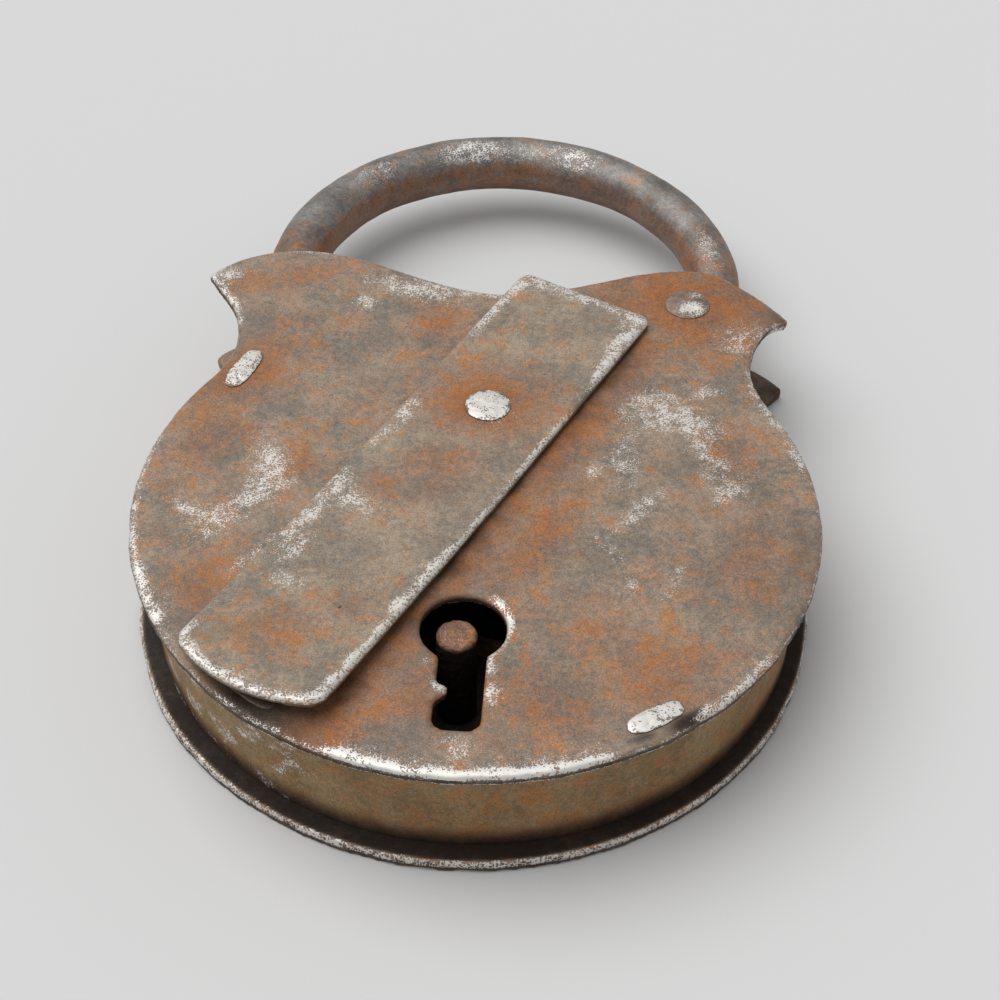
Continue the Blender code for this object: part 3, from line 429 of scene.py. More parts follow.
def iron(name, base, dark, rust_level=0.5, metallic=0.42, roughness=0.64):
    """Old wrought iron: an oxide film mottled with rust, rubbed bare where it is painted so.

    Forged and filed iron that has hung outdoors: the film is dull and grainy, the rust lies over it
    in soft blooms of 1 to 4 mm, and rubbed places show fine threads and specks of bright metal.
    """
    colours = bpy.context.scene.padlock_iron
    material = bpy.data.materials.new(name)
    material.use_nodes = True
    tree = material.node_tree
    shader = tree.nodes["Principled BSDF"]
    place = node(tree, "ShaderNodeTexCoord").outputs["Object"]
    parts = {label: node(tree, "ShaderNodeTexNoise", {"Vector": place, "Scale": 1 / size, "Detail": octaves,
                                                      "Roughness": rough}).outputs["Fac"]
             for label, size, octaves, rough in IRON_PATTERNS}
    for label in ("worn", "rusty", "dirty"):
        parts[label] = node(tree, "ShaderNodeAttribute", attribute_name=label).outputs["Fac"]
    parts.update(rust_start=rust_level - 0.5, fleck_most=1.2 * rust_level)
    for label, start, added, span, ends, kind in IRON_SHARES:
        total = parts[start]
        for pattern, weight in added:
            total = node(tree, "ShaderNodeMath", {0: parts[pattern], 1: weight, 2: total},
                         operation="MULTIPLY_ADD")
        low, high = (parts.get(end, end) for end in ends)
        parts[label] = node(tree, "ShaderNodeMapRange", {"Value": total, "From Min": span[0],
                                                         "From Max": span[1], "To Min": low, "To Max": high},
                            interpolation_type=kind)

    # The oxide film, of two browns, then ochre, rust blooms, flecks and the stain around rivets
    colour = node(tree, "ShaderNodeMix", {0: parts["film_share"], 6: linear(dark), 7: linear(base)},
                  data_type="RGBA")
    rust = node(tree, "ShaderNodeMix", {0: parts["tone_share"], 6: linear(colours.rust_deep),
                                        7: linear(colours.rust)}, data_type="RGBA")
    stain = node(tree, "ShaderNodeMath", {0: parts["rusty"], 1: 0.45}, operation="MULTIPLY")
    for share, tint in ((parts["ochre_share"], linear(colours.ochre)), (parts["rust_share"], rust),
                        (parts["fleck_share"], linear(colours.rust)), (stain, linear(colours.stain))):
        colour = node(tree, "ShaderNodeMix", {0: share, 6: colour, 7: tint}, data_type="RGBA")
    colour = node(tree, "ShaderNodeVectorMath", {0: colour, 1: parts["grain"]}, operation="MULTIPLY")

    # Rubbed places, and the painted highlight on the shackle: a pale haze, and threads of bare metal that join
    # where the field is strong
    rubbed = node(tree, "ShaderNodeMath", {0: parts["worn"], 1: parts["spread"]}, operation="MULTIPLY")
    haze = node(tree, "ShaderNodeMapRange", {"Value": rubbed, "From Min": 0.1, "From Max": 1.0,
                                             "To Max": 0.24}, interpolation_type="SMOOTHSTEP")
    off_thread = node(tree, "ShaderNodeMath", {0: parts["thread"], 1: 0.5}, operation="SUBTRACT")
    off_thread = node(tree, "ShaderNodeMath", {0: off_thread}, operation="ABSOLUTE")
    bare_mix = node(tree, "ShaderNodeMath", {0: off_thread, 1: -5.5, 2: rubbed}, operation="MULTIPLY_ADD")
    bare_mix = node(tree, "ShaderNodeMath", {0: parts["grit"], 1: 0.9, 2: bare_mix}, operation="MULTIPLY_ADD")
    bare = node(tree, "ShaderNodeMapRange", {"Value": bare_mix, "From Min": 0.58, "From Max": 0.86},
                interpolation_type="SMOOTHSTEP")
    bare = node(tree, "ShaderNodeMath", {0: bare, 1: parts["clean"]}, operation="MULTIPLY")
    # Darkened where dirt and painted shade are laid on; then the pale haze and the bare metal
    for share, tint in ((parts["dirt_and_shade_share"], colours.grime_and_shade), (haze, colours.scuffed),
                        (bare, colours.bright)):
        colour = node(tree, "ShaderNodeMix", {0: share, 6: colour, 7: linear(tint)}, data_type="RGBA")

    metal = node(tree, "ShaderNodeMath", {0: bare, 1: BARE_METALLIC - metallic, 2: metallic},
                 operation="MULTIPLY_ADD")
    dull, height = roughness - 0.12, 0.0
    for pattern, weight in (("speckle", 0.25), ("rust_share", 0.12)):
        dull = node(tree, "ShaderNodeMath", {0: parts[pattern], 1: weight, 2: dull}, operation="MULTIPLY_ADD")
    for pattern, weight in (("bloom", 0.7), ("speckle", 0.45), ("grit", 0.20), ("rust_share", 0.3)):
        height = node(tree, "ShaderNodeMath", {0: parts[pattern], 1: weight, 2: height},
                      operation="MULTIPLY_ADD")
    rough = node(tree, "ShaderNodeMix", {0: bare, 2: dull, 3: BARE_ROUGHNESS}, data_type="FLOAT")
    bump = node(tree, "ShaderNodeBump", {"Height": height, "Distance": RELIEF, "Strength": 1.0})
    for label, finished in (("Base Color", colour), ("Metallic", metal), ("Roughness", rough),
                            ("Normal", bump)):
        output = next(output for output in finished.outputs if output.enabled)
        tree.links.new(output, shader.inputs[label])
    return material


def dress(piece, material, body, slot, *nodes):
    """Give the piece its finish and its body, and hide the CAD nodes that it stands for."""
    piece.data.materials.clear()
    piece.data.materials.append(material)
    piece.data.shade_smooth()
    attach(piece, body)
    if nodes:
        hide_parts(*nodes)


# Rubbed lengths of the front plate's rim: from and to in degrees, widths of the bright edge, strength
RIM_RUBBED = ((250, 296, 1.7, 1.4), (310, 329, 1.5, 0.85), (165, 182, 1.2, 0.55), (182, 197, 1.5, 0.75),
              (197, 213, 2.0, 1.0), (12, 41, 1.9, 0.70),
              (129, 137, 1.3, 0.80), (113, 122, 1.1, 0.70), (88, 107, 2.2, 0.74), (3, 12, 1.2, 0.55),
              (228, 250, 0.8, 0.6))

# Rubbed places on the front plate: x, y, length, width in mm, turn in degrees, strength
PLATE_RUBBED = (
    (-27.6, 5.6, 3.8, 1.9, 108, 0.95), (-30.0, -0.8, 3.6, 1.5, 66, 0.85), (-32.6, -5.4, 3.2, 1.3, 52, 0.85),
    (-36.8, -3.6, 2.6, 1.1, -35, 0.70), (-25.6, 2.6, 1.6, 1.0, 40, 0.60),
    (22.6, 23.0, 3.2, 1.5, 8, 0.85), (26.2, 19.4, 4.6, 2.1, -28, 0.98), (29.6, 25.0, 2.6, 1.4, 25, 0.62),
    (29.4, 13.4, 2.8, 1.2, -58, 0.80), (31.6, 11.6, 1.8, 1.1, -15, 0.55), (33.0, 6.2, 2.6, 1.5, 60, 0.88),
    (19.4, 14.0, 3.8, 1.1, 72, 0.58), (15.3, 8.4, 1.5, 0.8, 60, 0.72), (20.0, 6.4, 2.6, 1.0, 35, 0.48),
    (21.4, 1.4, 3.9, 1.1, 52, 0.82), (17.4, -6.4, 2.8, 0.9, -50, 0.52), (20.9, -11.8, 2.3, 0.9, 64, 0.52),
    (25.2, -12.8, 1.9, 1.0, 60, 0.55), (26.6, -9.4, 1.5, 0.8, 30, 0.42), (-19.0, 41.0, 1.3, 1.2, 0, 0.95),
    (-12.6, 44.6, 5.2, 1.8, -14, 0.9), (-40.0, 45.0, 2.4, 1.6, 48, 0.80), (35.4, 37.0, 3.2, 2.6, 50, 0.68),
    (38.6, 22.6, 3.2, 1.3, 112, 0.80), (0.6, -40.6, 1.6, 2.4, 0, 0.60), (-42.0, -15.4, 3.4, 1.3, 112, 0.70),
    (23.4, 19.0, 3.0, 2.4, 0, 0.85), (28.4, 17.6, 3.0, 1.8, -40, 0.85), (19.6, 20.0, 1.6, 2.6, 0, 0.6),
    (31.4, 9.6, 2.6, 1.6, 60, 0.7), (19.0, 9.6, 2.0, 3.0, 0, 0.55), (-28.0, 2.2, 2.6, 2.0, 80, 0.85),
    (-33.6, -3.6, 3.0, 1.4, 40, 0.7), (-38.4, -23.6, 3.4, 1.2, 130, 0.66), (37.0, -25.0, 3.6, 1.0, 50, 0.60),
    (-27.6, -10.8, 4.0, 0.8, 56, 0.66),
)

# A rubbed place keeps this share of a rubbed edge's strength
PATCH_STRENGTH = 0.76

# Rusty places on the front plate, in the same form
PLATE_RUSTY = (
    (27.3, 44.2, 13, 9, -20, 1.0), (-34.0, 24.5, 7, 5, 55, 0.9), (-30.0, 46.0, 9, 3, 20, 0.5),
    (16.0, 28.0, 5, 14, -26, 0.75), (8.0, -6.0, 4, 14, -26, 0.6), (-37.0, 12.0, 5, 8, 0, 0.5),
    (24.0, -28.0, 9, 7, 0, 0.5), (36.0, -8.0, 6, 9, 0, 0.42), (-7.0, -33.0, 7, 6, 0, 0.6),
    (-33.0, -17.0, 4, 6, 0, 0.6), (11.0, -33.0, 9, 6, 0, 0.5), (15.0, -22.0, 5, 6, 30, 0.4),
    (-24.0, 6.0, 3, 3, 0, 0.6), (33.0, 14.0, 4, 5, 0, 0.4), (-8.0, 38.0, 4, 5, 0, 0.5),
)

# Darker places on the front plate, in the same form: dirt, and a painted shadow under the cover's lower end
PLATE_DIRT_AND_SHADOW = (
    (42.2, -5.0, 2.8, 9, 0, 0.42), (36.0, -14.0, 6, 10, 0, 0.2),
    # Painted shadow between the cover's lower end and the rim
    (-24.0, -36.5, 11, 4, -38, 0.8), (27.6, -34.2, 4.0, 1.5, 38, 0.95), (41.0, 45.0, 3, 3, 0, 0.5),
    (24.4, -30.6, 2.6, 1.1, 10, 0.30), (22.4, -37.2, 2.8, 0.9, 28, 0.70), (-40.4, -3.0, 2.4, 9, 6, 0.34),
    (-14.0, 34.0, 8, 4, -30, 0.22), (-40.0, 38.0, 2.4, 5, 10, 0.3), (40.0, 42.0, 3, 3, 0, 0.25),
)

# Rubbed, rusty and darker places on the cover, in the same form
COVER_RUBBED = (
    (-18.3, 1.6, 3.4, 1.7, 100, 0.92), (-16.0, -2.0, 3.2, 1.6, -32, 0.90), (-21.4, -1.4, 2.6, 1.2, 60, 0.85),
    (-13.8, -3.6, 1.8, 1.0, 0, 0.66), (-21.4, -5.4, 6.4, 1.2, 63, 0.95), (-22.5, -10.4, 2.8, 2.0, 70, 0.86),
    (-22.0, -17.0, 2.6, 1.3, -15, 0.66), (-27.0, -13.0, 4.4, 0.8, 62, 0.60), (4.0, 45.6, 3.0, 1.6, 60, 0.80),
    (7.0, 46.0, 4.0, 1.8, -26, 0.95), (20.8, 37.8, 3.0, 2.4, 60, 1.05), (-18.0, -38.8, 2.8, 1.8, -26, 1.05),
    (-27.0, -34.8, 3.6, 1.4, -26, 0.9), (-34.6, -30.0, 1.6, 1.3, 0, 0.8), (1.4, 16.6, 2.2, 1.9, 0, 0.7),
    (-11.0, 16.0, 3.0, 1.1, 62, 0.95), (-13.6, 11.0, 2.0, 0.9, 62, 0.7),
)
COVER_RUSTY = ((0.2, 18.2, 8, 7.5, 0, 1.0), (-5.0, 6.0, 8, 5, 60, 0.6), (-22.0, -26.0, 4, 5, 0, 0.36),
               (-14.0, -20.0, 5, 4, 0, 0.28), (-12.0, 1.0, 3, 3, 0, 0.5))
COVER_DIRT_AND_SHADE = ((-30.0, -27.0, 5, 4, 0, 0.4), (-13.0, -9.0, 5, 3.5, 20, 0.28), (6.0, 34.0, 6, 8, 60, 0.2),
               # At the rivet (0.2, 18.2): dirt and painted shade round the foot of its head
               (-15.2, -21.4, 0.3, 0.3, 0, 1.0), (0.2, 18.2, 4.1, 4.0, 0, 0.55))


def rubbed_edge(edge, width, strength):
    """Rubbed metal that fills a line of the given width along an edge and fades out past it."""
    return strength * (1 - ramp(edge / width, 0.45, 1.35))


# Width of a dent, and how an outline wanders: size of its waves, seed, and how far in from the edge
DENT_WIDTH = 16 * MM
FRONT_WANDER = (6 * MM, 3, 1.2 * MM)
BACK_WANDER = (7 * MM, 8, 1.4 * MM)


def shallow_dents(points, depth, seed):
    """How far each point of a plate is pushed in by its shallow dents."""
    return np.abs(rough_field(points, DENT_WIDTH, seed, 2)) * depth


def wandering(points, facing, edge, depth, size, seed, reach):
    """The points near a plate's edge moved in by up to about the depth, so that the outline wanders."""
    moved = (rough_field(points, size, seed) + 0.5) * depth * np.clip(1 - edge / reach, 0, 1)
    return points - facing * (1, 1, 0) * moved[:, None]


def on_cover(points):
    """How far each point lies right of the cover's middle line and above its rivet, in millimetres."""
    away = points[:, :2] - np.array(COVER_PIVOT[:2])
    cos, sin = math.cos(COVER_SWING), math.sin(COVER_SWING)
    return away @ (cos, -sin) / MM, away @ (sin, cos) / MM


# Front plate: thin bright line all round, line and rust beside the keyhole, and the lower arris
THIN_LINE = 0.35 * MM
KEYHOLE_LINE = 1.1 * MM
KEYHOLE_RUST = 0.9 * MM
LOWER_ARRIS = 0.7 * MM
ARRIS_FADE = 0.5 * MM

# Bright spots on the keyhole's nick and rim, in the same form as the plate's rubbed places
KEYHOLE_RUBBED = ((-1.4, -30.4, 1.4, 1.3, 0, 1.8), (4.2, -32.0, 1.3, 1.8, 0, 0.7),
                  (-3.8, -27.2, 1.3, 1.0, 0, 0.55), (3.8, -28.2, 1.0, 1.4, 0, 0.7))


def make_front_plate(sizes):
    """Front plate with filed, rubbed edges and shallow dents."""
    ends = spots_at("rim_band", True) + spots_at("top_strip", True) + spots_at("hinge_rivet", True)
    piece = fine_copy("front_plate", "front_plate_worn", PLATE_GRAIN, 3, ends, FRONT_INSIDE + HOLE_RISE,
                      FRONT_FACE - HOLE_SINK)
    points = points_of(piece)
    facing = normals_of(piece)
    loops = flat_side_loops("front_plate")
    edge = distance_to_loop(points, loops[0])
    keyhole = min(loops[1:], key=lambda loop: abs(loop[:, 0].mean()) + abs(loop[:, 1].mean() - KEYHOLE_Y))
    hole = distance_to_loop(points, keyhole)
    upper = ramp(facing[:, 2], 0.05, 0.6)
    moved = wandering(points, facing, edge, sizes.edge_wander, *FRONT_WANDER)
    moved[:, 2] -= shallow_dents(points, sizes.dent_depth, 5) * upper
    set_points(piece, moved)
    x, y = points[:, 0] / MM, points[:, 1] / MM
    turn = np.degrees(np.arctan2(y, x)) % 360
    rough_width = 1 + 0.5 * rough_field(points, 4 * MM, 14)
    rubbed = rubbed_edge(edge, THIN_LINE * rough_width, 0.55)
    for first, last, width, strength in RIM_RUBBED:
        along = ramp(turn, first - 2, first + 3) * ramp(-turn, -last - 2, 3 - last)
        width = width * sizes.bright_edge
        line = rubbed_edge(edge, width * rough_width, strength)
        haze = 0.62 * strength * np.exp(-edge / (1.3 * width))
        rubbed = np.maximum(rubbed, np.maximum(line, haze) * along)
    rubbed = np.maximum(rubbed, PATCH_STRENGTH * patches(points, PLATE_RUBBED, 1.45))
    right_rim = rubbed_edge(hole, KEYHOLE_LINE * rough_width, 0.85) * ramp(x, 2.2, 4.2) * ramp(y, -30.5, -27)
    rubbed = np.maximum.reduce([rubbed, right_rim, patches(points, KEYHOLE_RUBBED)]) * upper
    side, up_cover = on_cover(points)
    beside_cover = side - COVER_HALF_WIDTH
    by_cover = ramp(beside_cover, -6, -1) * ramp(29 - up_cover, 0, 5)
    rusty = np.maximum.reduce([patches(points, PLATE_RUSTY), 0.5 * np.exp(-(hole / KEYHOLE_RUST) ** 2),
                               0.8 * by_cover * np.exp(-(np.maximum(beside_cover, 0) / 5.0) ** 2)])
    # A broken dark streak beside the cover's right edge: dirt, and a painted shadow of the cover
    broken = np.clip(0.75 + 0.8 * rough_field(points, 3.5 * MM, 23), 0.2, 1.2)
    streak = 0.50 * broken * by_cover * np.exp(-(np.maximum(beside_cover, 0) / 3.5) ** 2)
    # Painted shade on faces that do not face up, joined with the darker places and the streak
    dirty = np.maximum.reduce([(1 - upper) * 0.75, patches(points, PLATE_DIRT_AND_SHADOW), streak])
    lower_arris = ramp(-facing[:, 2], -0.5, 0.3)
    lower_arris *= ramp(FRONT_INSIDE + LOWER_ARRIS - points[:, 2], 0, ARRIS_FADE)
    rubbed = np.maximum(rubbed, 0.95 * lower_arris)
    paint(piece, worn=rubbed, rusty=rusty, dirty=dirty)
    return piece


# Back plate: height of the bright upper arris and its fade, its line, and the line on the outer face
UPPER_ARRIS = 1.2 * MM
UPPER_ARRIS_FADE = 0.5 * MM
UPPER_LINE = 0.45 * MM
OUTER_LINE = 1.2 * MM

# The painted shade on the flange begins and is full this far in from the edge
FLANGE_SHADE = (0.1 * MM, 0.8 * MM)


def make_back_plate(sizes):
    """Back plate, whose upper edge shows a rubbed line below the flange, which is painted dark as shade."""
    ends = spots_at("rim_band", False) + spots_at("top_strip", False)
    piece = fine_copy("back_plate", "back_plate_worn", PLATE_GRAIN, 6, ends, BACK_INSIDE / 2,
                      BACK_INSIDE - HOLE_SINK)
    points = points_of(piece)
    facing = normals_of(piece)
    edge = distance_to_loop(points, flat_side_loops("back_plate")[0])
    set_points(piece, wandering(points, facing, edge, 1.2 * sizes.edge_wander, *BACK_WANDER))
    inside = ramp(facing[:, 2], 0.3, 0.9)
    arris_floor = BACK_INSIDE - UPPER_ARRIS
    high = ramp(points[:, 2], arris_floor, arris_floor + UPPER_ARRIS_FADE)
    side = 1 - ramp(np.abs(facing[:, 2]), 0.5, 0.9)
    uneven = rough_field(points, 3 * MM, 16)
    arris = np.maximum(rubbed_edge(edge, UPPER_LINE, 0.8), side * (0.70 + 0.3 * uneven)) * high
    arris *= ramp(20 - points[:, 1] / MM, 0, 10)
    outer_back = ramp(-facing[:, 2], 0.3, 0.9)
    horns = ramp(points[:, 1] / MM, 22, 28)
    # Painted shade on the flange under the front plate and band, and on the side faces; a lighter darkening on the
    # horns, more on the right
    horn_darkening = 0.35 + 0.32 * ramp(points[:, 0], -MM, MM)
    flange_shade = 0.90 * ramp(edge, *FLANGE_SHADE)
    inside_shade = inside * (flange_shade * (1 - horns) + horn_darkening * horns)
    side_shade = side * (0.7 * (1 - horns) + horn_darkening * horns)
    paint(piece, worn=arris + outer_back * rubbed_edge(edge, OUTER_LINE, 0.6),
          rusty=0.15, dirty=np.maximum(inside_shade, side_shade))
    return piece


def make_cover(sizes):
    """Keyhole cover with bright rubbed edges."""
    piece = fine_copy("keyhole_cover", "keyhole_cover_worn", COVER_GRAIN, 3)
    points = points_of(piece)
    facing = normals_of(piece)
    edge = distance_to_loop(points, flat_side_loops("keyhole_cover")[0])
    upper = ramp(facing[:, 2], 0.0, 0.5)
    side, along = on_cover(points)
    uneven = rough_field(points, 5 * MM, 12)
    faded = 1 - 0.6 * ramp(along, 2, 6) * ramp(14 - along, 0, 4)
    right = ramp(side, 5, 8) * 0.92 * faded * (1 + 0.25 * uneven)
    top = 0.72 * ramp(along, 24, 27)
    low = 0.95 * ramp(-along, 50, 56)
    left = ramp(-side, 6, 8) * (0.20 + 0.62 * ramp(along, 10, 15))
    strength = np.clip(np.maximum.reduce([right, top, low, left]), 0, 1)
    wider = 1 + 1.7 * ramp(along, 8, 18) + 0.7 * ramp(-along, 24, 30)
    width = sizes.bright_edge * wider * (1 + 0.5 * uneven)
    rubbed = np.maximum(rubbed_edge(edge, width, strength), 0.55 * strength * np.exp(-edge / width))
    rubbed = np.maximum(rubbed, PATCH_STRENGTH * patches(points, COVER_RUBBED, 1.35)) * upper
    points[:, 2] -= shallow_dents(points, 0.4 * sizes.dent_depth, 9) * upper
    set_points(piece, points)
    # Painted shade on the cover's faces that do not face up, joined with the darker places
    paint(piece, worn=rubbed, rusty=patches(points, COVER_RUSTY),
          dirty=np.maximum((1 - upper) * 0.6, patches(points, COVER_DIRT_AND_SHADE)))
    return piece


# Inputs that every tree has after its own
SKIN_SIZES = (("Mark size", "NodeSocketFloat"), ("Mark depth", "NodeSocketFloat"),
              ("Seed", "NodeSocketFloat"), ("Material", "NodeSocketMaterial"))


def group_tree(name, *sizes):
    """A new node group for a modifier, what it is given by name, and its output node."""
    tree = bpy.data.node_groups.new(name, "GeometryNodeTree")
    tree.interface.new_socket("Geometry", in_out="INPUT", socket_type="NodeSocketGeometry")
    for label, kind in sizes + SKIN_SIZES:
        tree.interface.new_socket(label, in_out="INPUT", socket_type=kind)
    tree.interface.new_socket("Geometry", in_out="OUTPUT", socket_type="NodeSocketGeometry")
    return tree, tree.nodes.new("NodeGroupInput").outputs, tree.nodes.new("NodeGroupOutput")


def finish_tree(tree, geometry, given, group_out):
    """Raise and lower the surface by small hammer marks, and end in real geometry with its material."""
    place = tree.nodes.new("GeometryNodeInputPosition").outputs[0]
    inverse = node(tree, "ShaderNodeMath", {0: 1.0, 1: given["Mark size"]}, operation="DIVIDE")
    marks = node(tree, "ShaderNodeTexNoise", {"Vector": place, "W": given["Seed"], "Scale": inverse,
                                              "Detail": 2.0}, noise_dimensions="4D").outputs["Fac"]
    centred = node(tree, "ShaderNodeMath", {0: marks, 1: 0.75}, operation="SUBTRACT")
    amount = node(tree, "ShaderNodeMath", {0: centred, 1: given["Mark depth"]}, operation="MULTIPLY")
    facing = tree.nodes.new("GeometryNodeInputNormal").outputs[0]
    offset = node(tree, "ShaderNodeVectorMath", {0: facing, "Scale": amount}, operation="SCALE")
    skin = node(tree, "GeometryNodeSetPosition", {"Geometry": geometry, "Offset": offset})
    real = node(tree, "GeometryNodeRealizeInstances", {"Geometry": skin})
    coated = node(tree, "GeometryNodeSetMaterial", {"Geometry": real, "Material": given["Material"]})
    tree.links.new(coated.outputs[0], group_out.inputs[0])
    return tree


def bar_tree():
    """Round bar along a curve, as thick as the curve's radius, with a hammered skin."""
    tree, given, group_out = group_tree("Hammered bar", ("Spacing", "NodeSocketFloat"),
                                        ("Sides", "NodeSocketInt"))
    even = node(tree, "GeometryNodeResampleCurve", {"Curve": given["Geometry"], "Length": given["Spacing"]},
                mode="LENGTH")
    ring = node(tree, "GeometryNodeCurvePrimitiveCircle", {"Resolution": given["Sides"], "Radius": 1.0})
    radius = node(tree, "GeometryNodeInputRadius")
    bar = node(tree, "GeometryNodeCurveToMesh", {"Curve": even, "Profile Curve": ring, "Scale": radius,
                                                 "Fill Caps": True})
    return finish_tree(tree, bar, given, group_out)


def strip_tree():
    """Flat strip on edge along a curve, with rounded corners and a hammered skin."""
    tree, given, group_out = group_tree("Hammered strip", ("Spacing", "NodeSocketFloat"),
                                        ("Thickness", "NodeSocketFloat"), ("Height", "NodeSocketFloat"),
                                        ("Corner", "NodeSocketFloat"))
    smooth = node(tree, "GeometryNodeCurveSplineType", {"Curve": given["Geometry"]},
                  spline_type="CATMULL_ROM")
    even = node(tree, "GeometryNodeResampleCurve", {"Curve": smooth, "Length": given["Spacing"]},
                mode="LENGTH")
    upright = node(tree, "GeometryNodeSetCurveNormal", {"Curve": even}, mode="Z_UP")
    section = node(tree, "GeometryNodeCurvePrimitiveQuadrilateral", {"Width": given["Thickness"],
                                                                     "Height": given["Height"]})
    rounded = node(tree, "GeometryNodeFilletCurve", {"Curve": section, "Count": 3,
                                                     "Radius": given["Corner"]}, mode="POLY")
    fine = node(tree, "GeometryNodeResampleCurve", {"Curve": rounded, "Length": given["Spacing"]},
                mode="LENGTH")
    strip = node(tree, "GeometryNodeCurveToMesh", {"Curve": upright, "Profile Curve": fine,
                                                   "Fill Caps": True})
    return finish_tree(tree, strip, given, group_out)


def heads_tree():
    """A peened head at each point, as long, wide, high and turned as the point says."""
    tree, given, group_out = group_tree("Peened heads", ("Rings", "NodeSocketInt"),
                                        ("Roundness", "NodeSocketVector"))
    ball = node(tree, "GeometryNodeMeshUVSphere", {"Segments": 64, "Rings": given["Rings"], "Radius": 1.0})
    place = tree.nodes.new("GeometryNodeInputPosition").outputs[0]
    size_of = node(tree, "ShaderNodeVectorMath", {0: place}, operation="ABSOLUTE")
    squarer = node(tree, "ShaderNodeVectorMath", {0: size_of, 1: given["Roundness"]}, operation="POWER")
    side = node(tree, "ShaderNodeVectorMath", {0: place}, operation="SIGN")
    square_place = node(tree, "ShaderNodeVectorMath", {0: squarer, 1: side}, operation="MULTIPLY")
    block = node(tree, "GeometryNodeSetPosition", {"Geometry": ball.outputs[0], "Position": square_place})
    size, turn = [node(tree, "GeometryNodeInputNamedAttribute", {"Name": label}, data_type="FLOAT_VECTOR")
                  for label in ("head_size", "head_turn")]
    spin = node(tree, "FunctionNodeEulerToRotation", {0: turn.outputs[0]})
    heads = node(tree, "GeometryNodeInstanceOnPoints", {"Points": given["Geometry"], "Instance": block,
                                                        "Rotation": spin, "Scale": size.outputs[0]})
    real = node(tree, "GeometryNodeRealizeInstances", {"Geometry": heads})
    return finish_tree(tree, real, given, group_out)


def grown(piece, tree, values):
    """The piece with what the tree makes of it as its own plain mesh."""
    modifier = piece.modifiers.new(tree.name, "NODES")
    modifier.node_group = tree
    for item in tree.interface.items_tree:
        if item.in_out == "INPUT" and item.name in values:
            modifier[item.identifier] = values[item.name]
    return settled(piece)


def curve_through(name, points, radii):
    """A poly curve through the points, with a radius at each."""
    curve = bpy.data.curves.new(name, "CURVE")
    curve.dimensions = "3D"
    spline = curve.splines.new("POLY")
    spline.points.add(len(points) - 1)
    for target, place, radius in zip(spline.points, points, radii):
        target.co = (*place, 1)
        target.radius = radius
    return link(name, curve)


# The shackle's middle line: steps round the bend and down the toe, and the rounding of the toe's tip
BEND_STEPS = 180
TOE_STEPS = 39
TIP_ROUND = 1.0 * MM

# The shackle's eye: its radius, its bore, the gap to each washer and its rounded corner
EYE_RADIUS = 5.6 * MM
BORE_RADIUS = 2.6 * MM
WASHER_GAP = 0.3 * MM
EYE_CORNER = 0.5 * MM

# The block that cuts the toe's notch: length, height and room beside the bolt's head
NOTCH_LENGTH = 14 * MM
NOTCH_HEIGHT = 16 * MM
NOTCH_ROOM = 0.5 * MM


def shackle_route(sizes):
    """Middle line of the bar from the hinge, over the crown, to the toe, with its radii."""
    centre = Vector((sizes.centre_x, HINGE.y + sizes.rise, MIDDLE))
    bend = math.hypot(HINGE.x + sizes.outset, sizes.rise)
    first = -math.asin(sizes.rise / bend)
    sweep = math.pi + sizes.toe_turn - first
    route = []
    for i in range(BEND_STEPS + 1):
        angle = first + sweep * i / BEND_STEPS
        leg = sizes.hinge_leg_radius if angle < math.pi / 2 else sizes.leg_radius
        swell = (sizes.crown_radius - leg) * max(math.sin(angle), 0)
        route.append((centre + Vector((math.cos(angle), math.sin(angle), 0)) * bend, leg + swell))
    heading = Vector((math.sin(sizes.toe_turn), -math.cos(sizes.toe_turn), 0))
    start = route[-1][0]
    for i in range(1, TOE_STEPS + 1):
        past = sizes.toe_length * i / TOE_STEPS
        left = sizes.toe_length - past
        trim = TIP_ROUND * (1 - math.sqrt(max(1 - (1 - min(left / TIP_ROUND, 1)) ** 2, 0)))
        route.append((start + heading * past, sizes.leg_radius - trim))
    return route


def joined_with(piece, other, operation):
    """The piece after a Boolean with the other piece, which is used up."""
    step = piece.modifiers.new(operation.title(), "BOOLEAN")
    step.operation = operation
    step.solver = "EXACT"
    step.object = other
    result = settled(piece)
    bpy.data.objects.remove(other)
    return result


def clear_slivers(piece):
    """Take away the thin faces that a Boolean leaves on the piece."""
    bm = bmesh.new()
    bm.from_mesh(piece.data)
    bmesh.ops.triangulate(bm, faces=bm.faces)
    bmesh.ops.remove_doubles(bm, verts=bm.verts, dist=SLIVER)
    bmesh.ops.dissolve_degenerate(bm, edges=bm.edges, dist=SLIVER)
    bm.to_mesh(piece.data)
    bm.free()


def round_block(name, centre, radius, floor, ceiling, arris):
    """An upright cylinder with a small chamfer at both ends."""
    bm = bmesh.new()
    bmesh.ops.create_cone(bm, cap_ends=True, segments=72, radius1=radius, radius2=radius,
                          depth=ceiling - floor)
    rims = [edge for edge in bm.edges if abs(edge.verts[0].co.z - edge.verts[1].co.z) < MERGE]
    if arris > 0:
        bmesh.ops.bevel(bm, geom=rims, offset=arris, segments=2, affect="EDGES")
    bmesh.ops.translate(bm, verts=bm.verts, vec=(centre.x, centre.y, (floor + ceiling) / 2))
    return link(name, mesh_of(bm, name))


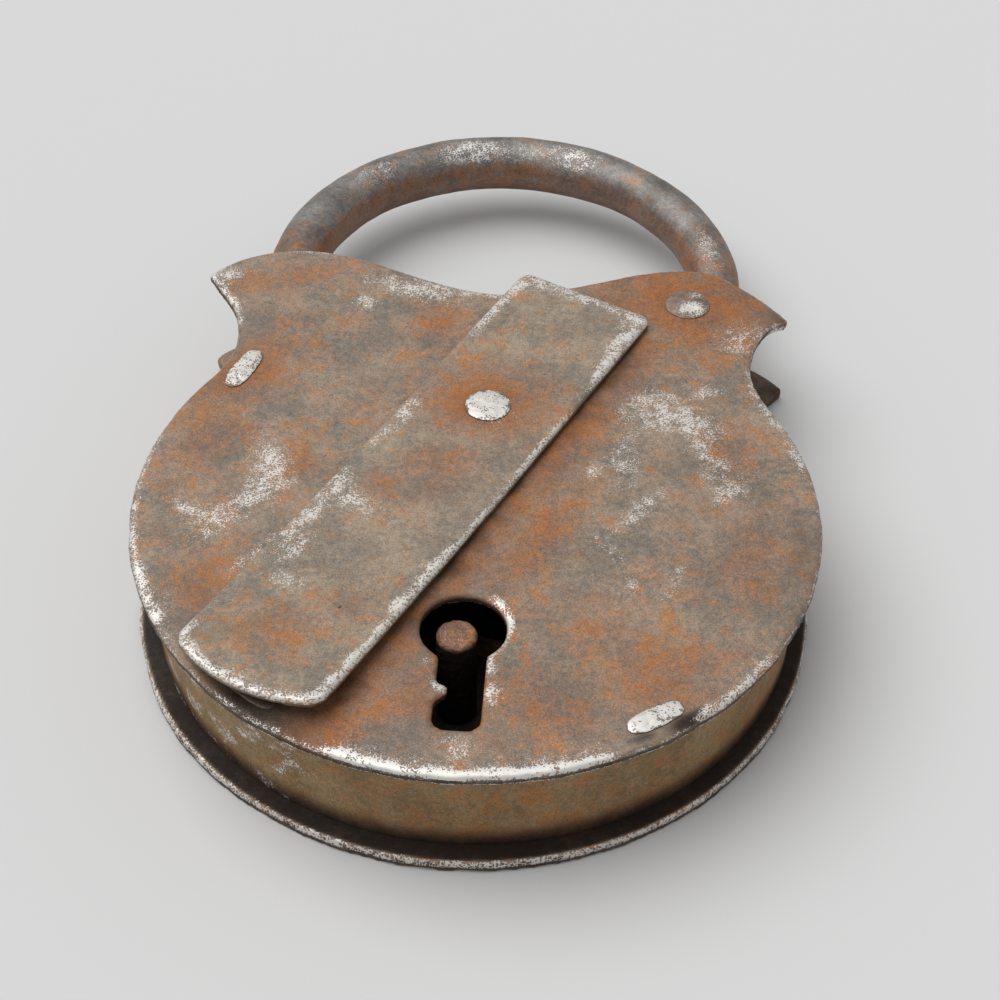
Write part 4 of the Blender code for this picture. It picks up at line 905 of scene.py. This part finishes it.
def notch_block():
    """A block as wide as the notch that the bolt's head enters in the shackle's toe."""
    corners = points_of(frame["nodes"]["bolt"])
    head = corners[corners[:, 0] < corners[:, 0].min() + MERGE][:, 1]
    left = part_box("bolt")[0].x - JOINTS["bolt_slide"]["range_m"][1] - NOTCH_ROOM
    span = Vector((NOTCH_LENGTH, head.max() - head.min() + 2 * NOTCH_ROOM, NOTCH_HEIGHT))
    bm = bmesh.new()
    bmesh.ops.create_cube(bm, size=1.0)
    bmesh.ops.scale(bm, verts=bm.verts, vec=span)
    middle = (left + span.x / 2, (head.min() + head.max()) / 2, MIDDLE)
    bmesh.ops.translate(bm, verts=bm.verts, vec=middle)
    return link("notch", mesh_of(bm, "notch"))


# Rubbed places on the shackle, as angles about the bend's centre in degrees: middle, half length, strength
SHACKLE_RUBBED = ((104, 10, 0.68), (72, 9, 0.60), (134, 8, 0.55), (12, 12, 0.5), (88, 30, 0.30))


# The bar's skin: spacing and sides of its faces, and its hammer marks
BAR_SKIN = {"Spacing": 0.6 * MM, "Sides": 56, "Mark size": 8 * MM, "Mark depth": 0.60 * MM, "Seed": 4.0}


def make_shackle(sizes, material):
    """Hammered round bar shackle with the eye and the bolt's notch of its CAD node."""
    route = shackle_route(sizes)
    path = curve_through("shackle_worn", [place for place, _ in route], [radius for _, radius in route])
    bar = grown(path, bar_tree(), {**BAR_SKIN, "Material": material})
    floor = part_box("hinge_washer_back")[1].z + WASHER_GAP
    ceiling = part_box("hinge_washer_front")[0].z - WASHER_GAP
    bar = joined_with(bar, round_block("eye", HINGE, EYE_RADIUS, floor, ceiling, EYE_CORNER), "UNION")
    bar = joined_with(bar, round_block("bore", HINGE, BORE_RADIUS, 0, FRONT_FACE, 0), "DIFFERENCE")
    bar = joined_with(bar, notch_block(), "DIFFERENCE")
    clear_slivers(bar)
    points = points_of(bar)
    facing = normals_of(bar)
    centre = np.array((sizes.centre_x, HINGE.y + sizes.rise, MIDDLE))
    away = points - centre
    turn = np.degrees(np.arctan2(away[:, 1], away[:, 0]))
    # Bare metal only where the bar faces up and a little to the front: the rubbed places are partly a painted
    # highlight
    lit = ramp(facing @ (0.0, -0.40, 0.917), 0.76, 0.96)
    rubbed = np.zeros(len(points))
    for middle, half, strength in SHACKLE_RUBBED:
        rubbed = np.maximum(rubbed, strength * np.exp(-((turn - middle) / half) ** 2))
    legs = ramp(np.abs(turn - 90), 60, 95)
    low = ramp(-(facing @ (0.0, -0.20, 0.98)), -0.86, -0.50) * ramp(-facing[:, 1] + 0.3 * legs, -0.1, 0.25)
    blued = np.exp(-((turn - 155) / 9) ** 2) * (1 - low)
    # Rust on the legs and the under side; painted shade on the under side and on faces turned down; a darker film
    # at the blued place, which has less rust
    paint(bar, worn=rubbed * lit, rusty=np.clip(0.62 * low + 0.62 * legs - 0.8 * blued, 0, 1),
          dirty=np.maximum(0.22 * low + 0.25 * ramp(-facing[:, 2], 0.0, 0.9), 0.30 * blued))
    return bar


# The rim band: thickness, how far it enters the plates in all, and how high the painted shade and rust lie on it
BAND_THICKNESS = 2.0 * MM
BAND_BITE = 0.8 * MM
SHADE_AND_RUST_HEIGHT = 5.2 * MM

# The band's skin: spacing of its faces, rounded corners and hammer marks
BAND_SKIN = {"Spacing": 0.5 * MM, "Thickness": BAND_THICKNESS,
             "Height": FRONT_INSIDE - BACK_INSIDE + BAND_BITE, "Corner": 0.3 * MM,
             "Mark size": 7 * MM, "Mark depth": 0.5 * MM, "Seed": 2.0}


def beside_plates(height, reach):
    """How near each height is to the back plate, and to the front plate within the reach."""
    low = 1 - ramp(height, BACK_INSIDE, BACK_INSIDE + SHADE_AND_RUST_HEIGHT)
    return low, ramp(height, FRONT_INSIDE - reach, FRONT_INSIDE)


def band_route():
    """Middle line of the rim band: the plates' outline moved in, from its left end to its right end."""
    loop = flat_side_loops("front_plate")[0][:, :2]
    area = (loop[:, 0] * np.roll(loop[:, 1], -1) - loop[:, 1] * np.roll(loop[:, 0], -1)).sum()
    if area < 0:
        loop = loop[::-1]
    top = int(np.argmax(loop[:, 1] - 1000 * (np.abs(loop[:, 0]) > 5 * MM)))
    loop = np.roll(loop, -top, axis=0)
    inset = -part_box("rim_band")[0].y - BAND_THICKNESS / 2 + loop[:, 1].min()
    after = np.roll(loop, -1, axis=0) - loop
    after /= np.linalg.norm(after, axis=1)[:, None]
    before = np.roll(after, 1, axis=0)
    normal = np.stack((-before[:, 1] - after[:, 1], before[:, 0] + after[:, 0]), axis=1)
    normal /= np.linalg.norm(normal, axis=1)[:, None]
    inner = loop + normal * abs(inset)
    corners = points_of(frame["nodes"]["rim_band"])
    left_end = corners[corners[:, 0] < 0][:, 1].max()
    right_end = corners[corners[:, 0] > 0][:, 1].max()
    route = []
    for point in inner:
        end = left_end if point[0] < 0 else right_end
        if point[1] < end and abs(point[0]) > 20 * MM or point[1] < 0:
            route.append(Vector((point[0], point[1], (BACK_INSIDE + FRONT_INSIDE) / 2)))
    return route


def make_band(material):
    """Hammered rim band, painted dark as shade where it meets the plates and on its inner face."""
    route = band_route()
    path = curve_through("rim_band_worn", route, [1.0] * len(route))
    band = grown(path, strip_tree(), {**BAND_SKIN, "Material": material})
    points = points_of(band)
    low, high = beside_plates(points[:, 2], 2.2 * MM)
    inside = ramp(-(normals_of(band)[:, :2] * points[:, :2]).sum(axis=1) / BODY_REACH, 0.0, 0.5)
    below = points[:, 1] < 0
    marks = rough_field(points * (1, 1, 2.2), 5 * MM, 21)
    left = ramp(-points[:, 0] / MM, 8, 22) * below
    # Painted shade low by the back plate, below the front plate except on the left, and on the band's inner face;
    # rust also grows low down
    paint(band, worn=left * (0.10 + 0.50 * ramp(marks, 0.0, 0.5)) * (1 - inside),
          rusty=0.35 + 0.4 * low,
          dirty=np.maximum.reduce([0.80 * low, 0.22 * high * (1 - left), 0.8 * inside]))
    return band


def make_strip():
    """Worn top strip, bright where its tenon shows in the front plate."""
    strip = fine_copy("top_strip", "top_strip_worn", STRIP_GRAIN, 3)
    height = points_of(strip)[:, 2]
    end = ramp(height, FRONT_FACE - 0.2 * MM, FRONT_FACE - 0.05 * MM)
    low, high = beside_plates(height, 2.5 * MM)
    # Painted shade near both plates, and darker all over
    dirty = np.maximum(np.maximum(0.80 * low, 0.50 * high), 0.30)
    paint(strip, worn=0.85 * end, rusty=0.4 * (1 - end), dirty=dirty * (1 - end))
    return strip


# Corners within this height of a node's end belong to it, and within this distance to one tenon
END_HEIGHT = 0.02 * MM
TENON_REACH = 9 * MM


def spots_at(cad_node, top):
    """Where the node's ends show in a plate: centre, half length, half width and turn of each."""
    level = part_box(cad_node)[1 if top else 0].z
    corners = points_of(frame["nodes"][cad_node])
    left = corners[np.abs(corners[:, 2] - level) < END_HEIGHT]
    spots = []
    while len(left):
        near = np.linalg.norm(left - left[0], axis=1) < TENON_REACH
        group = np.unique(np.round(left[near], 6), axis=0)
        left = left[~near]
        middle = (group.min(axis=0) + group.max(axis=0)) / 2
        spread = group[:, :2] - group[:, :2].mean(axis=0)
        values, axes = np.linalg.eigh(spread.T @ spread)
        along = spread @ axes[:, 1]
        beside = spread @ axes[:, 0]
        spots.append((middle, np.ptp(along) / 2, np.ptp(beside) / 2, math.atan2(axes[1, 1], axes[0, 1])))
    return spots


# Bright places on the hinge rivet's head, in the same form as the plates' rubbed places
HINGE_HEAD_RUBBED = ((27.9, 43.2, 1.8, 1.5, 20, 1.3), (28.6, 46.2, 1.0, 0.8, 0, 1.1),
                     (26.0, 45.2, 0.8, 0.8, 0, 0.5))

# Peened heads: how far they spread past their hole, and how high they stand in front and at the back
HEAD_SPREAD = 0.45 * MM
FRONT_HEAD_HEIGHT = 0.26 * MM
BACK_HEAD_HEIGHT = 0.30 * MM
FRONT_HEAD_SINK = 0.02 * MM
HEAD_SKIN = {"Rings": 32, "Mark size": 1.3 * MM, "Mark depth": 0.22 * MM}


def make_heads(name, nodes, top, roundness, seed, material):
    """Peened heads over the ends of the tenons and rivets that show in one plate."""
    places, sizes, turns = [], [], []
    height = FRONT_HEAD_HEIGHT if top else BACK_HEAD_HEIGHT
    rise = -FRONT_HEAD_SINK if top else height
    for node_name in nodes:
        for middle, length, width, turn in spots_at(node_name, top):
            places.append((middle[0], middle[1], middle[2] + rise))
            sizes.append((length + HEAD_SPREAD, width + HEAD_SPREAD, height))
            turns.append((0, 0, turn))
    mesh = bpy.data.meshes.new(name)
    mesh.from_pydata(places, [], [])
    for label, values in (("head_size", sizes), ("head_turn", turns)):
        attribute = mesh.attributes.new(label, "FLOAT_VECTOR", "POINT")
        attribute.data.foreach_set("vector", np.array(values, np.float32).ravel())
    heads = grown(link(name, mesh), heads_tree(),
                  {**HEAD_SKIN, "Roundness": roundness, "Seed": seed, "Material": material})
    points = points_of(heads)
    side, up_cover = on_cover(points)
    # Heads under the cover at rest: painted shadow of the cover, more rust and no rubbing
    covered = top * ramp(COVER_HALF_WIDTH - side, 0, 1) * ramp(FRONT_FACE + MM - points[:, 2], 0, 0.3 * MM)
    covered *= ramp(up_cover, -63, -60) * ramp(side + 12, 0, 1)
    worn = 0.90 + 0.45 * ramp(points[:, 0], -5 * MM, -2 * MM) if top else 0.25
    crown = (points[:, 2] - places[0][2]) / height
    crowned = ramp(crown + 0.34 * rough_field(points, 1.4 * MM, seed), -0.02, 0.26) if top else 1
    # Below the crown of each front head: dirt and painted shade round its foot
    paint(heads, worn=worn * crowned * (1 - covered), rusty=(0.15 if top else 0.4) + 0.3 * covered,
          dirty=np.maximum(0.45 * covered, 0.30 * (1 - crowned)))
    return heads


# Drill pin: depth and size of its pits, and how far below the tip its wear begins and is full
PIT_DEPTH = 0.25 * MM
PIT_SIZE = 1.6 * MM
TIP_WORN = (1.3 * MM, 0.3 * MM)


def make_pin():
    """Drill pin with a pitted skin, painted dark as shade inside the case and worn at its tip."""
    pin = fine_copy("drill_pin", "drill_pin_worn", SMALL_GRAIN, 6)
    points = points_of(pin)
    points -= normals_of(pin) * (PIT_DEPTH * np.abs(rough_field(points, PIT_SIZE, 31)))[:, None]
    set_points(pin, points)
    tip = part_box("drill_pin")[1].z
    top = ramp(points[:, 2], tip - TIP_WORN[0], tip - TIP_WORN[1])
    # Painted shade on all of the pin inside the case but its tip
    paint(pin, worn=0.18 * top, rusty=0.3, dirty=1.0 - top)
    return pin


class PADLOCK_OT_plates(bpy.types.Operator):
    """Make the two worn plates"""

    bl_idname = "padlock.plates"
    bl_label = "Plates"

    def execute(self, context):
        sizes = context.scene.padlock_plates
        colours = context.scene.padlock_iron
        # Forged and filed plate: brown-grey oxide film under orange rust, so it looks dull and mottled
        plate_iron = iron("oxidised_wrought_iron_plate", colours.patina, colours.patina_dark)
        dress(make_front_plate(sizes), plate_iron, "case", "rusted_plate", "front_plate")
        dress(make_back_plate(sizes), plate_iron, "case", "rusted_plate", "back_plate")
        return {"FINISHED"}


class PADLOCK_OT_cover(bpy.types.Operator):
    """Make the swinging keyhole cover"""

    bl_idname = "padlock.cover"
    bl_label = "Keyhole cover"

    def execute(self, context):
        # Forged strip that hands push aside: a paler and cleaner film than the plates have
        cover_iron = iron("oxidised_wrought_iron_cover", *COVER_FILM, rust_level=0.46)
        cover = make_cover(context.scene.padlock_plates)
        dress(cover, cover_iron, "cover", "rusted_plate", "keyhole_cover")
        return {"FINISHED"}


class PADLOCK_OT_shackle(bpy.types.Operator):
    """Make the round bar shackle"""

    bl_idname = "padlock.shackle"
    bl_label = "Shackle"

    def execute(self, context):
        # Bar drawn out under the hammer: blue-grey scale with a low gloss, and rust on its under side
        shackle_iron = iron("hammered_iron_bar", *BAR_FILM, rust_level=0.35, metallic=0.5, roughness=0.52)
        bar = make_shackle(context.scene.padlock_shackle, shackle_iron)
        dress(bar, shackle_iron, "shackle", "worn_shackle", "shackle")
        return {"FINISHED"}


class PADLOCK_OT_band(bpy.types.Operator):
    """Make the rim band and the worn top strip"""

    bl_idname = "padlock.band"
    bl_label = "Rim band"

    def execute(self, context):
        # Hammered band between the plates: a yellow-brown film, matt because no hand rubs it
        band_iron = iron("rusted_iron_band", *BAND_FILM, rust_level=0.41, roughness=0.68)
        dress(make_band(band_iron), band_iron, "case", "rusted_band", "rim_band")
        dress(make_strip(), band_iron, "case", "rusted_band", "top_strip")
        return {"FINISHED"}


class PADLOCK_OT_rivets(bpy.types.Operator):
    """Make the peened heads, the cover's rivet and the drill pin"""

    bl_idname = "padlock.rivets"
    bl_label = "Rivets and pin"

    def execute(self, context):
        # Heads spread with a hammer in front: rubbed nearly bare, so they are the brightest places
        bright_iron = iron("peened_iron_head", *HEAD_FILM, rust_level=0.35, metallic=0.5, roughness=0.55)
        # The same at the back, where nothing rubs: dull and brown
        dull_iron = iron("rusted_peened_end", *END_FILM, rust_level=0.45)
        # Turned pin that the key fits over: an even red-brown film
        pin_iron = iron("brown_iron_pin", *PIN_FILM, rust_level=0.45, metallic=0.35)
        oblong, round_head = (0.66, 0.85, 1.0), (1.0, 1.0, 1.0)
        tenons = make_heads("front_tenons", ("rim_band",), True, oblong, 3.0, bright_iron)
        dress(tenons, bright_iron, "case", "worn_rivet")
        hinge_head = make_heads("hinge_head", ("hinge_rivet",), True, round_head, 4.0, bright_iron)
        paint(hinge_head, worn=patches(points_of(hinge_head), HINGE_HEAD_RUBBED), rusty=0.35)
        dress(hinge_head, bright_iron, "case", "worn_rivet")
        tenon_ends = make_heads("back_tenons", ("rim_band", "top_strip"), False, oblong, 6.0, dull_iron)
        dress(tenon_ends, dull_iron, "case", "worn_rivet")
        round_ends = make_heads("back_rivets", ("hinge_rivet", "drill_pin", "guide_post_upper",
                                                "guide_post_lower", "toe_stop_pin", "spring_post"),
                                False, round_head, 7.0, dull_iron)
        dress(round_ends, dull_iron, "case", "worn_rivet")
        head = make_heads("cover_rivet_head", ("cover_rivet",), True, round_head, 9.0, bright_iron)
        dress(head, bright_iron, "case", "worn_rivet")
        for name in ("hinge_rivet", "cover_rivet"):
            shank = fine_copy(name, name + "_worn", SMALL_GRAIN, 3)
            dress(shank, dull_iron, "case", "worn_rivet", name)
        dress(make_pin(), pin_iron, "case", "brown_pin", "drill_pin")
        return {"FINISHED"}


class PADLOCK_OT_inside(bpy.types.Operator):
    """Give the inner pieces their dark iron"""

    bl_idname = "padlock.inside"
    bl_label = "Inner pieces"

    def execute(self, context):
        # Forged pieces inside the case: nearly black and matt, a dark film painted as shade for the inside of the
        # case
        inner_iron = iron("painted_shade_inner_iron", *INNER_SHADE_FILM, rust_level=0.5, metallic=0.35, roughness=0.75)
        finishes = {row["node"]: row["material_slot"] for row in frame["record"]["subparts"]}
        for name, obj in frame["nodes"].items():
            if finishes[name] == "inner_iron":
                obj.data.materials.clear()
                obj.data.materials.append(inner_iron)
        return {"FINISHED"}


class PADLOCK_OT_stage(bpy.types.Operator):
    """Make the pale floor, the soft lights and the camera"""

    bl_idname = "padlock.stage"
    bl_label = "Stage"

    def execute(self, context):
        stage = context.scene.padlock_stage
        make_floor(stage)
        make_lights()
        make_camera(stage)
        return {"FINISHED"}


def make_floor(stage):
    """Pale matt floor that the padlock lies on."""
    bm = bmesh.new()
    bmesh.ops.create_grid(bm, x_segments=1, y_segments=1, size=FLOOR_HALF)
    bmesh.ops.translate(bm, verts=bm.verts, vec=(0, 0, cad_box[0][2] - FLOOR_GAP))
    floor = link("floor", mesh_of(bm, "floor"))
    # Unglazed studio paper: an even pale grey without gloss
    material = bpy.data.materials.new("pale_paper_floor")
    material.use_nodes = True
    shader = material.node_tree.nodes["Principled BSDF"]
    shader.inputs["Base Color"].default_value = linear(stage.floor_colour)
    shader.inputs["Roughness"].default_value = 0.9
    floor.data.materials.append(material)


def make_lights():
    """One broad soft light from above and a little behind, and a pale world."""
    data = bpy.data.lights.new("soft_skylight", "SUN")
    data.angle = SUN_SPREAD
    data.energy = SUN_ENERGY
    lamp = link("soft_skylight", data)
    lamp.matrix_world = SUN_HEADING.to_track_quat("Z", "Y").to_matrix().to_4x4()
    world = bpy.data.worlds.new("pale_world")
    bpy.context.scene.world = world
    world.use_nodes = True
    ground = world.node_tree.nodes["Background"]
    ground.inputs["Color"].default_value = linear(WORLD_COLOUR)
    ground.inputs["Strength"].default_value = WORLD_STRENGTH
    bpy.context.scene.view_settings.view_transform = "Standard"


def make_camera(stage):
    """Camera at the photograph's angle."""
    az, el, roll = stage.azimuth, stage.elevation, stage.roll
    back = Vector((math.sin(az) * math.cos(el), -math.cos(az) * math.cos(el), math.sin(el)))
    right = (-back).cross(Vector((0, 0, 1))).normalized()
    up = right.cross(-back)
    turned_right = right * math.cos(roll) + up * math.sin(roll)
    turned_up = up * math.cos(roll) - right * math.sin(roll)
    data = bpy.data.cameras.new("photo_camera")
    data.sensor_width = SENSOR_WIDTH
    data.lens = stage.lens
    data.clip_start = NEAREST_SEEN
    camera = link("photo_camera", data)
    turn = Matrix((turned_right, turned_up, back)).transposed().to_4x4()
    camera.matrix_world = Matrix.Translation(Vector(stage.target) + back * stage.distance) @ turn
    bpy.context.scene.camera = camera


class PADLOCK_PT_panel(bpy.types.Panel):
    """Sizes, colours and steps of the padlock"""

    bl_label = "Padlock"
    bl_idname = "PADLOCK_PT_panel"
    bl_space_type = "VIEW_3D"
    bl_region_type = "UI"
    bl_category = "Padlock"

    def draw(self, context):
        layout = self.layout
        for operator in OPERATORS:
            layout.operator(operator.bl_idname)
        for name in GROUPS:
            group = getattr(context.scene, name)
            for prop in group.bl_rna.properties:
                if prop.identifier not in ("rna_type", "name"):
                    layout.prop(group, prop.identifier)


GROUPS = {"padlock_plates": PadlockPlates, "padlock_shackle": PadlockShackle, "padlock_iron": PadlockIron,
          "padlock_stage": PadlockStage}
OPERATORS = (PADLOCK_OT_plates, PADLOCK_OT_cover, PADLOCK_OT_shackle, PADLOCK_OT_band, PADLOCK_OT_rivets,
             PADLOCK_OT_inside, PADLOCK_OT_stage)


def register():
    """Register the classes and put the groups on the scene."""
    for cls in (*GROUPS.values(), *OPERATORS, PADLOCK_PT_panel):
        bpy.utils.register_class(cls)
    for name, group in GROUPS.items():
        setattr(bpy.types.Scene, name, PointerProperty(type=group))


def unregister():
    """Take the groups and the classes away again."""
    for name in GROUPS:
        delattr(bpy.types.Scene, name)
    for cls in reversed((*GROUPS.values(), *OPERATORS, PADLOCK_PT_panel)):
        bpy.utils.unregister_class(cls)


def main():
    """Make the padlock's looks."""
    register()
    bpy.ops.padlock.plates()
    bpy.ops.padlock.cover()
    bpy.ops.padlock.shackle()
    bpy.ops.padlock.band()
    bpy.ops.padlock.rivets()
    bpy.ops.padlock.inside()
    bpy.ops.padlock.stage()


if __name__ == "__main__":
    main()
